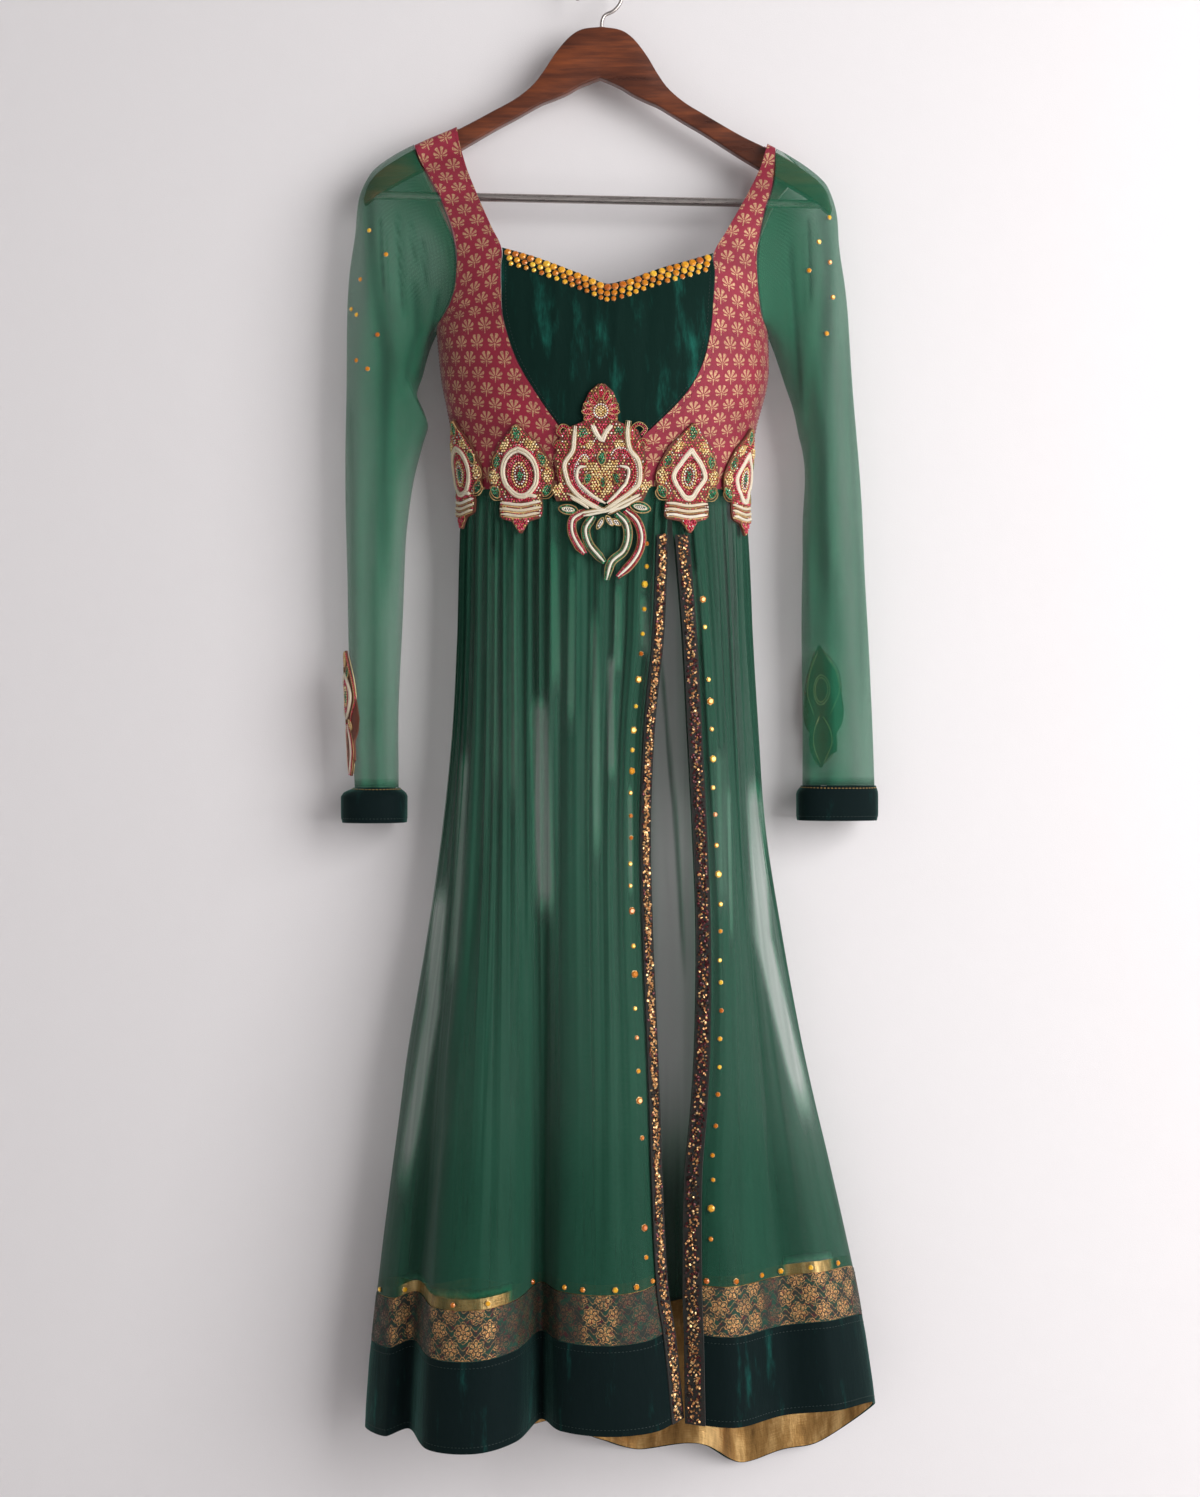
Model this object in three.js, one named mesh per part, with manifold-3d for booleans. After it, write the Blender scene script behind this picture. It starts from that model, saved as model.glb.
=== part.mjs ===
// An embroidered anarkali kurta hanging on a wooden hanger.
//
// Frame: millimetres, +Z up, the wearer's front towards -Y, left and right as seen from the front.
// The origin is the inside top of the hanger's hook, where a rail or wall hook carries it.
//
// The bodice is a ring that changes with height: a velvet yoke set in brocade side panels whose straps
// run over the hanger. Net sleeves with velvet cuffs hang from the armholes. The gathered net skirt is
// open down the front between two taped edges, and ends in a brocade band and a velvet border that is
// faced with gold cloth. Applique medallions cover the waist seam and mark the wrists.

import * as THREE from "three";
import { mergeVertices } from "three/addons/utils/BufferGeometryUtils.js";
import Module from "manifold-3d";

// ---- driving dimensions -------------------------------------------------------------------------

const SEAM = 0.3; // gap between neighbouring pieces
const BROCADE = 1.4; // wall thicknesses
const VELVET = 1.8;
const NET = 1.0;
const BAND = 1.2;
const TAPE = 1.2;
const FACING = 1.0;

const WAIST_Z = -500; // the seam between bodice and skirt
const VELVET_BORDER = 81; // heights of the two hem bands
const BROCADE_BORDER = 44;
const HEM_SEAM = 0.6; // wider than SEAM, because the folds lean there
const FACING_HEIGHT = 137; // the gold facing reaches a little above both

const HANGER = {
  tilt: THREE.MathUtils.degToRad(1.2), // it hangs lower on the right
  offset: 2.5, // the board's middle stands a little to the right of the hook's
  thickness: 12,
  edgeRound: 1.5,
  barRadius: 4,
  barZ: -218,
  barReach: 217,
  stemRadius: 1.75,
  stemDepth: 22,
  hookRadius: 22,
  boreGap: 0.35,
};

// The upper and lower edges of the hanger's arm, from its neck to its tip.
const ARM_EDGE = [
  { out: 0, top: -54, bottom: -103 },
  { out: 19, top: -57, bottom: -111 },
  { out: 31, top: -65, bottom: -118 },
  { out: 44, top: -81, bottom: -124 },
  { out: 54, top: -97, bottom: -128 },
  { out: 64, top: -110.5, bottom: -133.5 },
  { out: 80, top: -124, bottom: -143 },
  { out: 98, top: -134.5, bottom: -153 },
  { out: 135, top: -155, bottom: -175.5 },
  { out: 165, top: -169, bottom: -192.5 },
  { out: 190, top: -183, bottom: -206 },
  { out: 209, top: -196.5, bottom: -218 },
  { out: 219, top: -209, bottom: -226 },
  { out: 222, top: -219, bottom: -228 },
];

// The bodice's ring at each height: its middle, half width, reach to the front and to the back, and how
// square it is (2 is an ellipse). Above the underarm it only guides the straps.
const BODICE_RINGS = [
  { z: -500, middle: 3, half: 135, front: 70, back: 20, square: 2.3 },
  { z: -440, middle: 3.3, half: 145, front: 82, back: 21, square: 2.3 },
  { z: -392, middle: 4.5, half: 155.5, front: 90, back: 22, square: 2.3 },
  { z: -348, middle: 2.5, half: 158, front: 92, back: 22, square: 2.3 },
  { z: -305, middle: 1, half: 162, front: 82, back: 22, square: 2.6 },
  { z: -267, middle: 0, half: 168, front: 66, back: 21, square: 3 },
  { z: -220, middle: 0, half: 184, front: 38, back: 18, square: 4 },
  { z: -182, middle: 0, half: 208, front: 17, back: 13, square: 5 },
  { z: -150, middle: 0, half: 235, front: 9.5, back: 9.5, square: 6 },
];

// A front side panel from the waist to the shoulder: x and z of its inner edge (the centre seam, then the
// yoke's curve, then the neck side of the strap) and of its outer edge (side seam, then armhole).
// side: true means that the edge runs on the side seam.
const FRONT_LEFT_EDGES = [
  { innerX: 3, innerZ: -500, side: true, outerX: 0, outerZ: -500 },
  { innerX: 3, innerZ: -484, side: true, outerX: 0, outerZ: -480 },
  { innerX: 3, innerZ: -472, side: true, outerX: 0, outerZ: -455 },
  { innerX: -24, innerZ: -464, side: true, outerX: 0, outerZ: -430 },
  { innerX: -55, innerZ: -422, side: true, outerX: 0, outerZ: -400 },
  { innerX: -77, innerZ: -385, side: true, outerX: 0, outerZ: -372 },
  { innerX: -89, innerZ: -348, side: true, outerX: 0, outerZ: -347 },
  { innerX: -91, innerZ: -322, side: false, outerX: -146, outerZ: -336 },
  { innerX: -91.5, innerZ: -300, side: false, outerX: -136, outerZ: -318 },
  { innerX: -91, innerZ: -280, side: false, outerX: -133, outerZ: -293 },
  { innerX: -101, innerZ: -257, side: false, outerX: -136, outerZ: -262 },
  { innerX: -113, innerZ: -228, side: false, outerX: -147, outerZ: -231 },
  { innerX: -123, innerZ: -202, side: false, outerX: -160, outerZ: -204 },
  { innerX: -132, innerZ: -173, side: false, outerX: -170, outerZ: -186 },
];
const FRONT_RIGHT_EDGES = [
  { innerX: 3, innerZ: -500, side: true, outerX: 0, outerZ: -500 },
  { innerX: 3, innerZ: -484, side: true, outerX: 0, outerZ: -480 },
  { innerX: 3, innerZ: -472, side: true, outerX: 0, outerZ: -458 },
  { innerX: 30, innerZ: -464, side: true, outerX: 0, outerZ: -434 },
  { innerX: 74, innerZ: -422, side: true, outerX: 0, outerZ: -405 },
  { innerX: 93, innerZ: -392, side: true, outerX: 0, outerZ: -380 },
  { innerX: 102, innerZ: -356, side: true, outerX: 0, outerZ: -354 },
  { innerX: 104.5, innerZ: -328, side: false, outerX: 153, outerZ: -340 },
  { innerX: 106, innerZ: -304, side: false, outerX: 148, outerZ: -318 },
  { innerX: 105, innerZ: -285, side: false, outerX: 146, outerZ: -290 },
  { innerX: 117, innerZ: -262, side: false, outerX: 148.5, outerZ: -264 },
  { innerX: 132, innerZ: -234, side: false, outerX: 154, outerZ: -238 },
  { innerX: 143, innerZ: -212, side: false, outerX: 161.5, outerZ: -214 },
  { innerX: 152, innerZ: -192, side: false, outerX: 164.5, outerZ: -194 },
];
// The back has the same sides, a scooped neck and a centre seam.
const BACK_LEFT_EDGES = [
  { innerX: 3, innerZ: -500, side: true, outerX: 0, outerZ: -500 },
  { innerX: 3, innerZ: -455, side: true, outerX: 0, outerZ: -455 },
  { innerX: 3, innerZ: -410, side: true, outerX: 0, outerZ: -405 },
  { innerX: 3, innerZ: -372, side: true, outerX: 0, outerZ: -347 },
  { innerX: -34, innerZ: -370, side: false, outerX: -148, outerZ: -333 },
  { innerX: -72, innerZ: -355, side: false, outerX: -138, outerZ: -310 },
  { innerX: -92, innerZ: -325, side: false, outerX: -136, outerZ: -285 },
  { innerX: -105, innerZ: -280, side: false, outerX: -140, outerZ: -255 },
  { innerX: -118, innerZ: -235, side: false, outerX: -152, outerZ: -227 },
  { innerX: -125, innerZ: -203, side: false, outerX: -162, outerZ: -204 },
  { innerX: -132, innerZ: -173, side: false, outerX: -170, outerZ: -186 },
];
const BACK_RIGHT_EDGES = [
  { innerX: 3, innerZ: -500, side: true, outerX: 0, outerZ: -500 },
  { innerX: 3, innerZ: -455, side: true, outerX: 0, outerZ: -455 },
  { innerX: 3, innerZ: -410, side: true, outerX: 0, outerZ: -408 },
  { innerX: 3, innerZ: -372, side: true, outerX: 0, outerZ: -354 },
  { innerX: 40, innerZ: -370, side: false, outerX: 155, outerZ: -338 },
  { innerX: 80, innerZ: -355, side: false, outerX: 147, outerZ: -312 },
  { innerX: 104, innerZ: -325, side: false, outerX: 146, outerZ: -290 },
  { innerX: 120, innerZ: -284, side: false, outerX: 149, outerZ: -264 },
  { innerX: 133, innerZ: -248, side: false, outerX: 157, outerZ: -242 },
  { innerX: 144, innerZ: -218, side: false, outerX: 168, outerZ: -218 },
  { innerX: 152, innerZ: -192, side: false, outerX: 181, outerZ: -202 },
];

// How a strap folds over the hanger's arm: the share left of its distance from the arm's middle, and of
// the rise to the crest, which rests on the wood.
const STRAP_FOLD = {
  rest: 0.6,
  lean: 0.6, // the share of its own slope that a strap keeps as it rises to the crest
  steps: [
    { out: 0.97, up: 0.7 },
    { out: 0.72, up: 0.97 },
    { out: 0, up: 1 },
  ],
};

// The yoke runs between the two front panels, from their centre seam to their shoulders.
const YOKE = { bottomZ: -466, topZ: -279, seam: 0.5, point: 6.5 };

// The yoke's neckline, corner to corner, with a shallow point in the middle.
const NECKLINE = [
  { x: -91, z: -280 },
  { x: -64, z: -289 },
  { x: -37, z: -300 },
  { x: -9, z: -311.5 },
  { x: 6.5, z: -317.5 },
  { x: 28, z: -312.5 },
  { x: 55, z: -302 },
  { x: 83, z: -293 },
  { x: 105, z: -285 },
];

// A sleeve's sections: its outer and inner edge, and its reach to the front and to the back. The first
// rows lean, and turn into the armhole.
const LEFT_SLEEVE = [
  { outerX: -176, outerZ: -164, innerX: -158, innerZ: -350, front: 30, back: 18 },
  { outerX: -188, outerZ: -171.5, innerX: -161, innerZ: -357, front: 34, back: 19 },
  { outerX: -203, outerZ: -180, innerX: -165, innerZ: -368, front: 37, back: 19 },
  { outerX: -219, outerZ: -194.5, innerX: -169, innerZ: -384, front: 38, back: 19 },
  { outerX: -228.5, outerZ: -216, innerX: -174, innerZ: -404, front: 38, back: 19 },
  { outerX: -233, outerZ: -250, innerX: -170, innerZ: -421, front: 37, back: 19 },
  { outerX: -238, outerZ: -290, innerX: -163, innerZ: -434, front: 36, back: 19 },
  { outerX: -241, outerZ: -345, innerX: -169, innerZ: -454, front: 35, back: 19 },
  { outerX: -242.5, outerZ: -425, innerX: -179, innerZ: -490, front: 34, back: 19 },
  { outerX: -242.5, outerZ: -515, innerX: -185, innerZ: -545, front: 32, back: 19 },
  { outerX: -241, outerZ: -610, innerX: -189, innerZ: -620, front: 30, back: 19 },
  { outerX: -238, outerZ: -700, innerX: -192, innerZ: -703, front: 28, back: 19 },
  { outerX: -234, outerZ: -779, innerX: -192, innerZ: -779, front: 27, back: 19 },
];
const RIGHT_SLEEVE = [
  { outerX: 178, outerZ: -176, innerX: 160, innerZ: -351, front: 30, back: 18 },
  { outerX: 190, outerZ: -183.5, innerX: 164, innerZ: -360, front: 34, back: 19 },
  { outerX: 205, outerZ: -193, innerX: 169, innerZ: -372, front: 37, back: 19 },
  { outerX: 217, outerZ: -207, innerX: 176, innerZ: -392, front: 38, back: 19 },
  { outerX: 224, outerZ: -229, innerX: 183, innerZ: -416, front: 38, back: 19 },
  { outerX: 227.5, outerZ: -262, innerX: 189, innerZ: -440, front: 37, back: 19 },
  { outerX: 233, outerZ: -305, innerX: 193, innerZ: -462, front: 36, back: 19 },
  { outerX: 238, outerZ: -360, innerX: 195, innerZ: -490, front: 35, back: 19 },
  { outerX: 244, outerZ: -435, innerX: 194, innerZ: -525, front: 34, back: 19 },
  { outerX: 250, outerZ: -520, innerX: 193, innerZ: -565, front: 32, back: 19 },
  { outerX: 255, outerZ: -610, innerX: 193, innerZ: -628, front: 30, back: 19 },
  { outerX: 259, outerZ: -700, innerX: 193, innerZ: -706, front: 28, back: 19 },
  { outerX: 262, outerZ: -777, innerX: 193, innerZ: -777, front: 27, back: 19 },
];
const SLEEVE = {
  around: 24,
  bunching: 0.5, // its columns stand closer at the outer and inner edges
  folds: 7,
  foldDepth: 1.8,
  foldStart: 0.35, // the share of its length above which it has no folds
  armholeRows: 3, // rows over which it turns from the armhole into a round section
  bluntness: 0.66, // below 1, its edges are blunter than an ellipse's
  clearance: 1.2, // from the edge of the bodice
  shoulderRise: 4.6, // above the hanger's arm, at the armhole's top
  crestRise: 2.4, // the same at the front and back of the arm
  shoulderHalf: 11,
};
const CUFFS = {
  left: { middle: -215, half: 29.5, front: 33, back: 21, ventTurn: 215 },
  right: { middle: 226, half: 37, front: 27, back: 20, ventTurn: 250 },
};
// A cuff takes in the sleeve at its top, and flares to its own size over a share of its height.
const CUFF = { height: 33, flare: 0.25, vent: 0.015, steps: 26 };

// The skirt from the waist down. share is the part of the way to the hem. left and right say how far the
// ring has opened from the waist to the hem on each side, slitLeft and slitRight how far the two front
// edges bow apart, and gather is the depth of the gathers.
const SKIRT_SECTIONS = [
  { share: 0, left: 0, right: 0, slitLeft: 0, slitRight: 0, gather: 0.4 },
  { share: 0.035, left: 0.0, right: 0.005, slitLeft: -3, slitRight: 0.8, gather: 2.6 },
  { share: 0.09, left: 0.01, right: 0.02, slitLeft: -5, slitRight: 4.5, gather: 3.4 },
  { share: 0.16, left: 0.03, right: 0.04, slitLeft: -8, slitRight: 9, gather: 3.2 },
  { share: 0.26, left: 0.085, right: 0.085, slitLeft: -17, slitRight: 13, gather: 2.6 },
  { share: 0.37, left: 0.2, right: 0.145, slitLeft: -21.5, slitRight: 17, gather: 1.8 },
  { share: 0.48, left: 0.36, right: 0.27, slitLeft: -21, slitRight: 18.6, gather: 1.1 },
  { share: 0.6, left: 0.56, right: 0.43, slitLeft: -18.5, slitRight: 15, gather: 0.6 },
  { share: 0.67, left: 0.65, right: 0.54, slitLeft: -17.3, slitRight: 10, gather: 0.4 },
  { share: 0.74, left: 0.74, right: 0.66, slitLeft: -16.5, slitRight: 3, gather: 0.3 },
  { share: 0.86, left: 0.89, right: 0.85, slitLeft: -13, slitRight: -0.5, gather: 0 },
  { share: 0.91, left: 0.94, right: 0.91, slitLeft: -7, slitRight: 0, gather: 0 },
  { share: 1, left: 1, right: 1, slitLeft: 0, slitRight: 0, gather: 0 },
];

// The hem's folds in order round the skirt: around runs from the wide panel's front edge at 0, over the
// left side, the back and the right side to the narrow panel's front edge at 1.
const HEM_FOLDS = [
  { around: 0, x: 76, y: -86, z: -1353 },
  { around: 0.035, x: 50, y: -106, z: -1360 },
  { around: 0.08, x: 6, y: -112, z: -1363 },
  { around: 0.125, x: -36, y: -98, z: -1362 },
  { around: 0.16, x: -55, y: -66, z: -1361 },
  { around: 0.195, x: -76, y: -112, z: -1367 },
  { around: 0.235, x: -112, y: -131, z: -1372 },
  { around: 0.275, x: -155, y: -116, z: -1373 },
  { around: 0.31, x: -176, y: -66, z: -1370 },
  { around: 0.335, x: -198, y: -70, z: -1376 },
  { around: 0.38, x: -221, y: -28, z: -1380 },
  { around: 0.42, x: -204, y: 14, z: -1386 },
  { around: 0.46, x: -166, y: -8, z: -1388 },
  { around: 0.5, x: -126, y: 21, z: -1389 },
  { around: 0.54, x: -84, y: -10, z: -1388 },
  { around: 0.58, x: -42, y: 22, z: -1390 },
  { around: 0.62, x: -2, y: -8, z: -1398 },
  { around: 0.66, x: 36, y: 22, z: -1418 },
  { around: 0.7, x: 92, y: -10, z: -1402 },
  { around: 0.74, x: 134, y: 20, z: -1430 },
  { around: 0.775, x: 176, y: 19, z: -1417 },
  { around: 0.81, x: 215, y: 19, z: -1408 },
  { around: 0.84, x: 259, y: -24, z: -1360 },
  { around: 0.885, x: 218, y: -74, z: -1351 },
  { around: 0.915, x: 172, y: -70, z: -1356 },
  { around: 0.96, x: 124, y: -102, z: -1358 },
  { around: 1, x: 77.5, y: -90, z: -1357 },
];
const SKIRT = {
  slitAngle: 65.4, // degrees round the waist ring where the two front edges meet
  leftSeam: 0.38, // the side seams, in the same units as around
  rightSeam: 0.84,
  gathers: 48,
  slitSoftness: 0.08,
};
const SKIRT_PANELS = [
  { name: "front_wide", from: 0, to: SKIRT.leftSeam, fine: 60, coarse: 40 },
  { name: "back", from: SKIRT.leftSeam, to: SKIRT.rightSeam, fine: 72, coarse: 40 },
  { name: "front_narrow", from: SKIRT.rightSeam, to: 1, fine: 26, coarse: 18 },
];
// Where the net's rows lie, as a share of its length, and which of them carry the fine gathers.
const NET_ROWS = [
  { share: 0, fine: true },
  { share: 0.045, fine: true },
  { share: 0.12, fine: true },
  { share: 0.22, fine: false },
  { share: 0.34, fine: false },
  { share: 0.47, fine: false },
  { share: 0.61, fine: false },
  { share: 0.76, fine: false },
  { share: 0.89, fine: false },
  { share: 1, fine: false },
];
const SLIT_TAPE = { width: 0.016, clearance: 3.9, rows: 20, from: 0.052 };

// The waist's applique medallions: where each is centred, how far round it reaches and how high it is.
// at is in degrees round the ring, 90 being the middle of the front and 180 the left side.
const MEDALLIONS = [
  { name: "medallion_side_left", at: 161, z: -478, halfWidth: 29, up: 45, down: 57 },
  { name: "medallion_left", at: 120.5, z: -484, halfWidth: 32, up: 41, down: 59 },
  { name: "medallion_right", at: 58.5, z: -485, halfWidth: 31, up: 43, down: 58 },
  { name: "medallion_side_right", at: 20, z: -484, halfWidth: 28, up: 43, down: 58 },
];
// The half width of a medallion at each height, as shares of its size: a leaf at the top, a round body
// with lobes, a stepped foot and a drop.
const MEDALLION_OUTLINE = [
  { height: 1, half: 0.04 },
  { height: 0.78, half: 0.3 },
  { height: 0.52, half: 0.66 },
  { height: 0.2, half: 0.88 },
  { height: -0.08, half: 1 },
  { height: -0.3, half: 0.9 },
  { height: -0.46, half: 0.6 },
  { height: -0.56, half: 0.64 },
  { height: -0.76, half: 0.62 },
  { height: -0.82, half: 0.24 },
  { height: -1, half: 0.04 },
];
// The big central applique: two mirrored outlines from the bud at the top to the crossed tails.
const CENTRE_APPLIQUE = { at: 90.6, z: -466 };
const CENTRE_OUTLINE = [
  { height: 57, left: 3, right: 3 },
  { height: 50, left: 11, right: 11 },
  { height: 36, left: 17, right: 17 },
  { height: 24, left: 15, right: 15 },
  { height: 17, left: 34, right: 34 },
  { height: 2, left: 40, right: 40 },
  { height: -14, left: 42, right: 42 },
  { height: -29, left: 37, right: 37 },
  { height: -38, left: 44, right: 44 },
  { height: -48, left: 40, right: 40 },
];
const APPLIQUE = { gap: 0.8, thickness: 2.2, relief: 2.2 };
// The central applique's tails: outer and inner pair, as their middle lines below the knot.
const TAILS = [
  { name: "left", side: -1, width: 9.5, points: [[12, -58], [19, -67], [20, -80], [14, -93], [1, -104]] },
  { name: "right", side: 1, width: 8.5, points: [[15, -58], [29, -68], [33, -84], [25, -100], [8, -115]] },
];
const TAIL_DROP = 0.9; // how much closer to the cloth the tails lie than the other applique

// The applique near each wrist, centred on the sleeve at a height and an angle round it.
const WRIST_APPLIQUE = [
  { name: "wrist_motif_left", sleeve: "left", at: 22, z: -710, half: 58 },
  { name: "wrist_motif_right", sleeve: "right", at: 248, z: -700, half: 60 },
];
const WRIST_SPREAD = 38; // degrees round the sleeve from the middle of such an applique to its edge

const FINISH = {
  wood: { color: 0x7a3d1e, roughness: 0.35, metalness: 0 },
  steel: { color: 0x9a938f, roughness: 0.3, metalness: 0.9 },
  brocade: { color: 0xa8324a, roughness: 0.6, metalness: 0.1 },
  velvet: { color: 0x0d2c27, roughness: 0.85, metalness: 0 },
  net: { color: 0x1f6a4c, roughness: 0.8, metalness: 0 },
  hemBrocade: { color: 0x8a6a3c, roughness: 0.45, metalness: 0.5 },
  gold: { color: 0xc8a35a, roughness: 0.3, metalness: 0.8 },
  tape: { color: 0x7a4a36, roughness: 0.4, metalness: 0.5 },
  applique: { color: 0xb8a07c, roughness: 0.45, metalness: 0.3 },
};

// ---- general helpers ----------------------------------------------------------------------------

const { abs, cos, sin, sign, max, min, PI, exp, hypot } = Math;
const TURN = 50; // degrees to one unit of a surface's first parameter
const lerp = THREE.MathUtils.lerp;
const degrees = THREE.MathUtils.degToRad;

// The value of a table's column at a place on its "by" column, on a smooth curve through its rows.
function read(table, by, column, at) {
  const rising = table[table.length - 1][by] > table[0][by];
  const past = (row) => (rising ? row[by] > at : row[by] < at);
  const found = table.findIndex(past);
  const i = found < 0 ? table.length - 2 : max(0, found - 1);
  const slope = (k) => {
    const a = table[max(0, k - 1)];
    const b = table[min(table.length - 1, k + 1)];
    return (b[column] - a[column]) / (b[by] - a[by]);
  };
  const [p, q] = [table[i], table[i + 1]];
  const span = q[by] - p[by];
  const t = min(1, max(0, (at - p[by]) / span));
  const [t2, t3] = [t * t, t * t * t];
  return (
    (2 * t3 - 3 * t2 + 1) * p[column] +
    (t3 - 2 * t2 + t) * span * slope(i) +
    (3 * t2 - 2 * t3) * q[column] +
    (t3 - t2) * span * slope(i + 1)
  );
}

const spread = (count) => Array.from({ length: count + 1 }, (_, i) => i / count);

// The outward normal of a surface given as a function of two parameters, the first running round it
// against the clock as seen from below, and the second down.
function normalOf(surface, a, b, step = 1e-3) {
  const across = surface(a + step, b).sub(surface(a - step, b));
  const along = surface(a, b + step).sub(surface(a, b - step));
  return across.cross(along).normalize();
}

// A closed cloth wall from rows of outer and inner points. Rows may hold different numbers of points.
function wall(rows, closed = false) {
  const points = [];
  const faces = [];
  const add = (p) => points.push(p.x, p.y, p.z) / 3 - 1;
  const ids = rows.map((r) => ({ outer: r.outer.map(add), inner: r.inner.map(add) }));
  const loop = (row) => (closed ? [...row, row[0]] : row);
  const join = (a, b, flip) => {
    const put = (p, q, r) => faces.push(...(flip ? [p, r, q] : [p, q, r]));
    let [i, j] = [0, 0];
    while (i < a.length - 1 || j < b.length - 1) {
      const nextA = (i + 1) / (a.length - 1);
      const nextB = (j + 1) / (b.length - 1);
      if (j >= b.length - 1 || (i < a.length - 1 && nextA <= nextB)) {
        put(a[i], b[j], a[i + 1]);
        i += 1;
      } else {
        put(a[i], b[j], b[j + 1]);
        j += 1;
      }
    }
  };
  for (let k = 0; k + 1 < ids.length; k += 1) {
    join(loop(ids[k].outer), loop(ids[k + 1].outer), false);
    join(loop(ids[k].inner), loop(ids[k + 1].inner), true);
  }
  const first = ids[0];
  const last = ids[ids.length - 1];
  join(loop(first.inner), loop(first.outer), false);
  join(loop(last.outer), loop(last.inner), false);
  if (!closed) {
    const column = (side, at) => ids.map((r) => r[side].at(at));
    join(column("outer", 0), column("inner", 0), false);
    join(column("outer", -1), column("inner", -1), true);
  }
  return outwards(points, faces);
}

// A geometry from points and faces, turned so that its faces point out.
function outwards(points, faces) {
  const at = (i) => new THREE.Vector3().fromArray(points, 3 * i);
  let volume = 0;
  for (let i = 0; i < faces.length; i += 3) {
    volume += at(faces[i]).dot(at(faces[i + 1]).cross(at(faces[i + 2])));
  }
  const turned = volume < 0 ? faces.map((_, i) => faces[i - (i % 3) + [0, 2, 1][i % 3]]) : faces;
  const geometry = new THREE.BufferGeometry();
  geometry.setAttribute("position", new THREE.Float32BufferAttribute(points, 3));
  geometry.setIndex(turned);
  geometry.computeVertexNormals();
  return geometry;
}

// One row of a wall: points on a surface, moved out by lift, and the same moved in by the thickness.
function row(surface, places, lift, thickness) {
  const outer = [];
  const inner = [];
  for (const [a, b] of places) {
    const normal = normalOf(surface, a, b);
    outer.push(surface(a, b).addScaledVector(normal, lift));
    inner.push(surface(a, b).addScaledVector(normal, lift - thickness));
  }
  return { outer, inner };
}

// ---- the hanger ---------------------------------------------------------------------------------

const wasm = await Module();
wasm.setup();

function solidOf(geometry) {
  const bare = geometry.clone();
  bare.deleteAttribute("normal");
  bare.deleteAttribute("uv");
  const merged = mergeVertices(bare, 1e-4);
  return new wasm.Manifold(
    new wasm.Mesh({
      numProp: 3,
      vertProperties: merged.attributes.position.array,
      triVerts: new Uint32Array(merged.index.array),
    }),
  );
}

function geometryOf(solid) {
  const mesh = solid.getMesh();
  const geometry = new THREE.BufferGeometry();
  geometry.setAttribute("position", new THREE.BufferAttribute(mesh.vertProperties, 3));
  geometry.setIndex(new THREE.BufferAttribute(mesh.triVerts, 1));
  geometry.computeVertexNormals();
  return geometry;
}

function rod(radius, length, sides) {
  return new THREE.CylinderGeometry(radius, radius, length, sides);
}

function hangerWood() {
  const upper = ARM_EDGE.map((e) => new THREE.Vector2(e.out, e.top));
  const lower = ARM_EDGE.map((e) => new THREE.Vector2(e.out, e.bottom)).reverse();
  const mirror = (p) => new THREE.Vector2(-p.x, p.y);
  const rightSide = [...upper, ...lower];
  const leftSide = [...rightSide].reverse().map(mirror).slice(1, -1);
  const depth = HANGER.thickness - 2 * HANGER.edgeRound;
  const board = new THREE.ExtrudeGeometry(new THREE.Shape([...rightSide, ...leftSide]), {
    depth,
    bevelThickness: HANGER.edgeRound,
    bevelSize: HANGER.edgeRound,
    bevelOffset: -HANGER.edgeRound,
    bevelSegments: 2,
  });
  board.translate(0, 0, -depth / 2).rotateX(PI / 2);
  const bore = rod(HANGER.barRadius + HANGER.boreGap, 2 * (HANGER.barReach + 1), 16);
  bore.rotateZ(PI / 2).translate(0, 0, HANGER.barZ);
  const stemBore = rod(HANGER.stemRadius + HANGER.boreGap, 2 * HANGER.stemDepth, 12);
  stemBore.rotateX(PI / 2).translate(0, 0, ARM_EDGE[0].top);
  return geometryOf(solidOf(board).subtract(solidOf(bore)).subtract(solidOf(stemBore)));
}

function hangerBar() {
  return rod(HANGER.barRadius, 2 * HANGER.barReach, 12).rotateZ(PI / 2).translate(0, 0, HANGER.barZ);
}

// The wire hook: a stem out of the wood, a short bend and three quarters of a circle over the origin.
function hangerHook() {
  const { hookRadius: r, stemRadius, stemDepth, offset } = HANGER;
  const middleZ = -r + stemRadius;
  const path = [
    new THREE.Vector3(offset, 0, ARM_EDGE[0].top - stemDepth + 2),
    new THREE.Vector3(offset, 0, ARM_EDGE[0].top),
    new THREE.Vector3(offset + 0.6, 0, middleZ - r - 4),
    new THREE.Vector3(offset + 3, 0, middleZ - r + 0.4),
  ];
  for (let angle = -50; angle <= 200; angle += 25) {
    path.push(new THREE.Vector3(r * cos(degrees(angle)), 0, middleZ + r * sin(degrees(angle))));
  }
  const ring = new THREE.Shape();
  ring.absarc(0, 0, stemRadius, 0, 2 * PI);
  return new THREE.ExtrudeGeometry(ring, {
    curveSegments: 4,
    steps: 34,
    extrudePath: new THREE.CatmullRomCurve3(path),
  });
}

// The height of the board's upper edge at a place along the frame's X, with its tilt.
function armTop(x) {
  const sine = sin(HANGER.tilt);
  let out = x - HANGER.offset;
  for (let i = 0; i < 3; i += 1) {
    out = x - HANGER.offset - sine * read(ARM_EDGE, "out", "top", abs(out));
  }
  return read(ARM_EDGE, "out", "top", abs(out)) - sine * (out + HANGER.offset);
}

// ---- the bodice ---------------------------------------------------------------------------------

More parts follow.
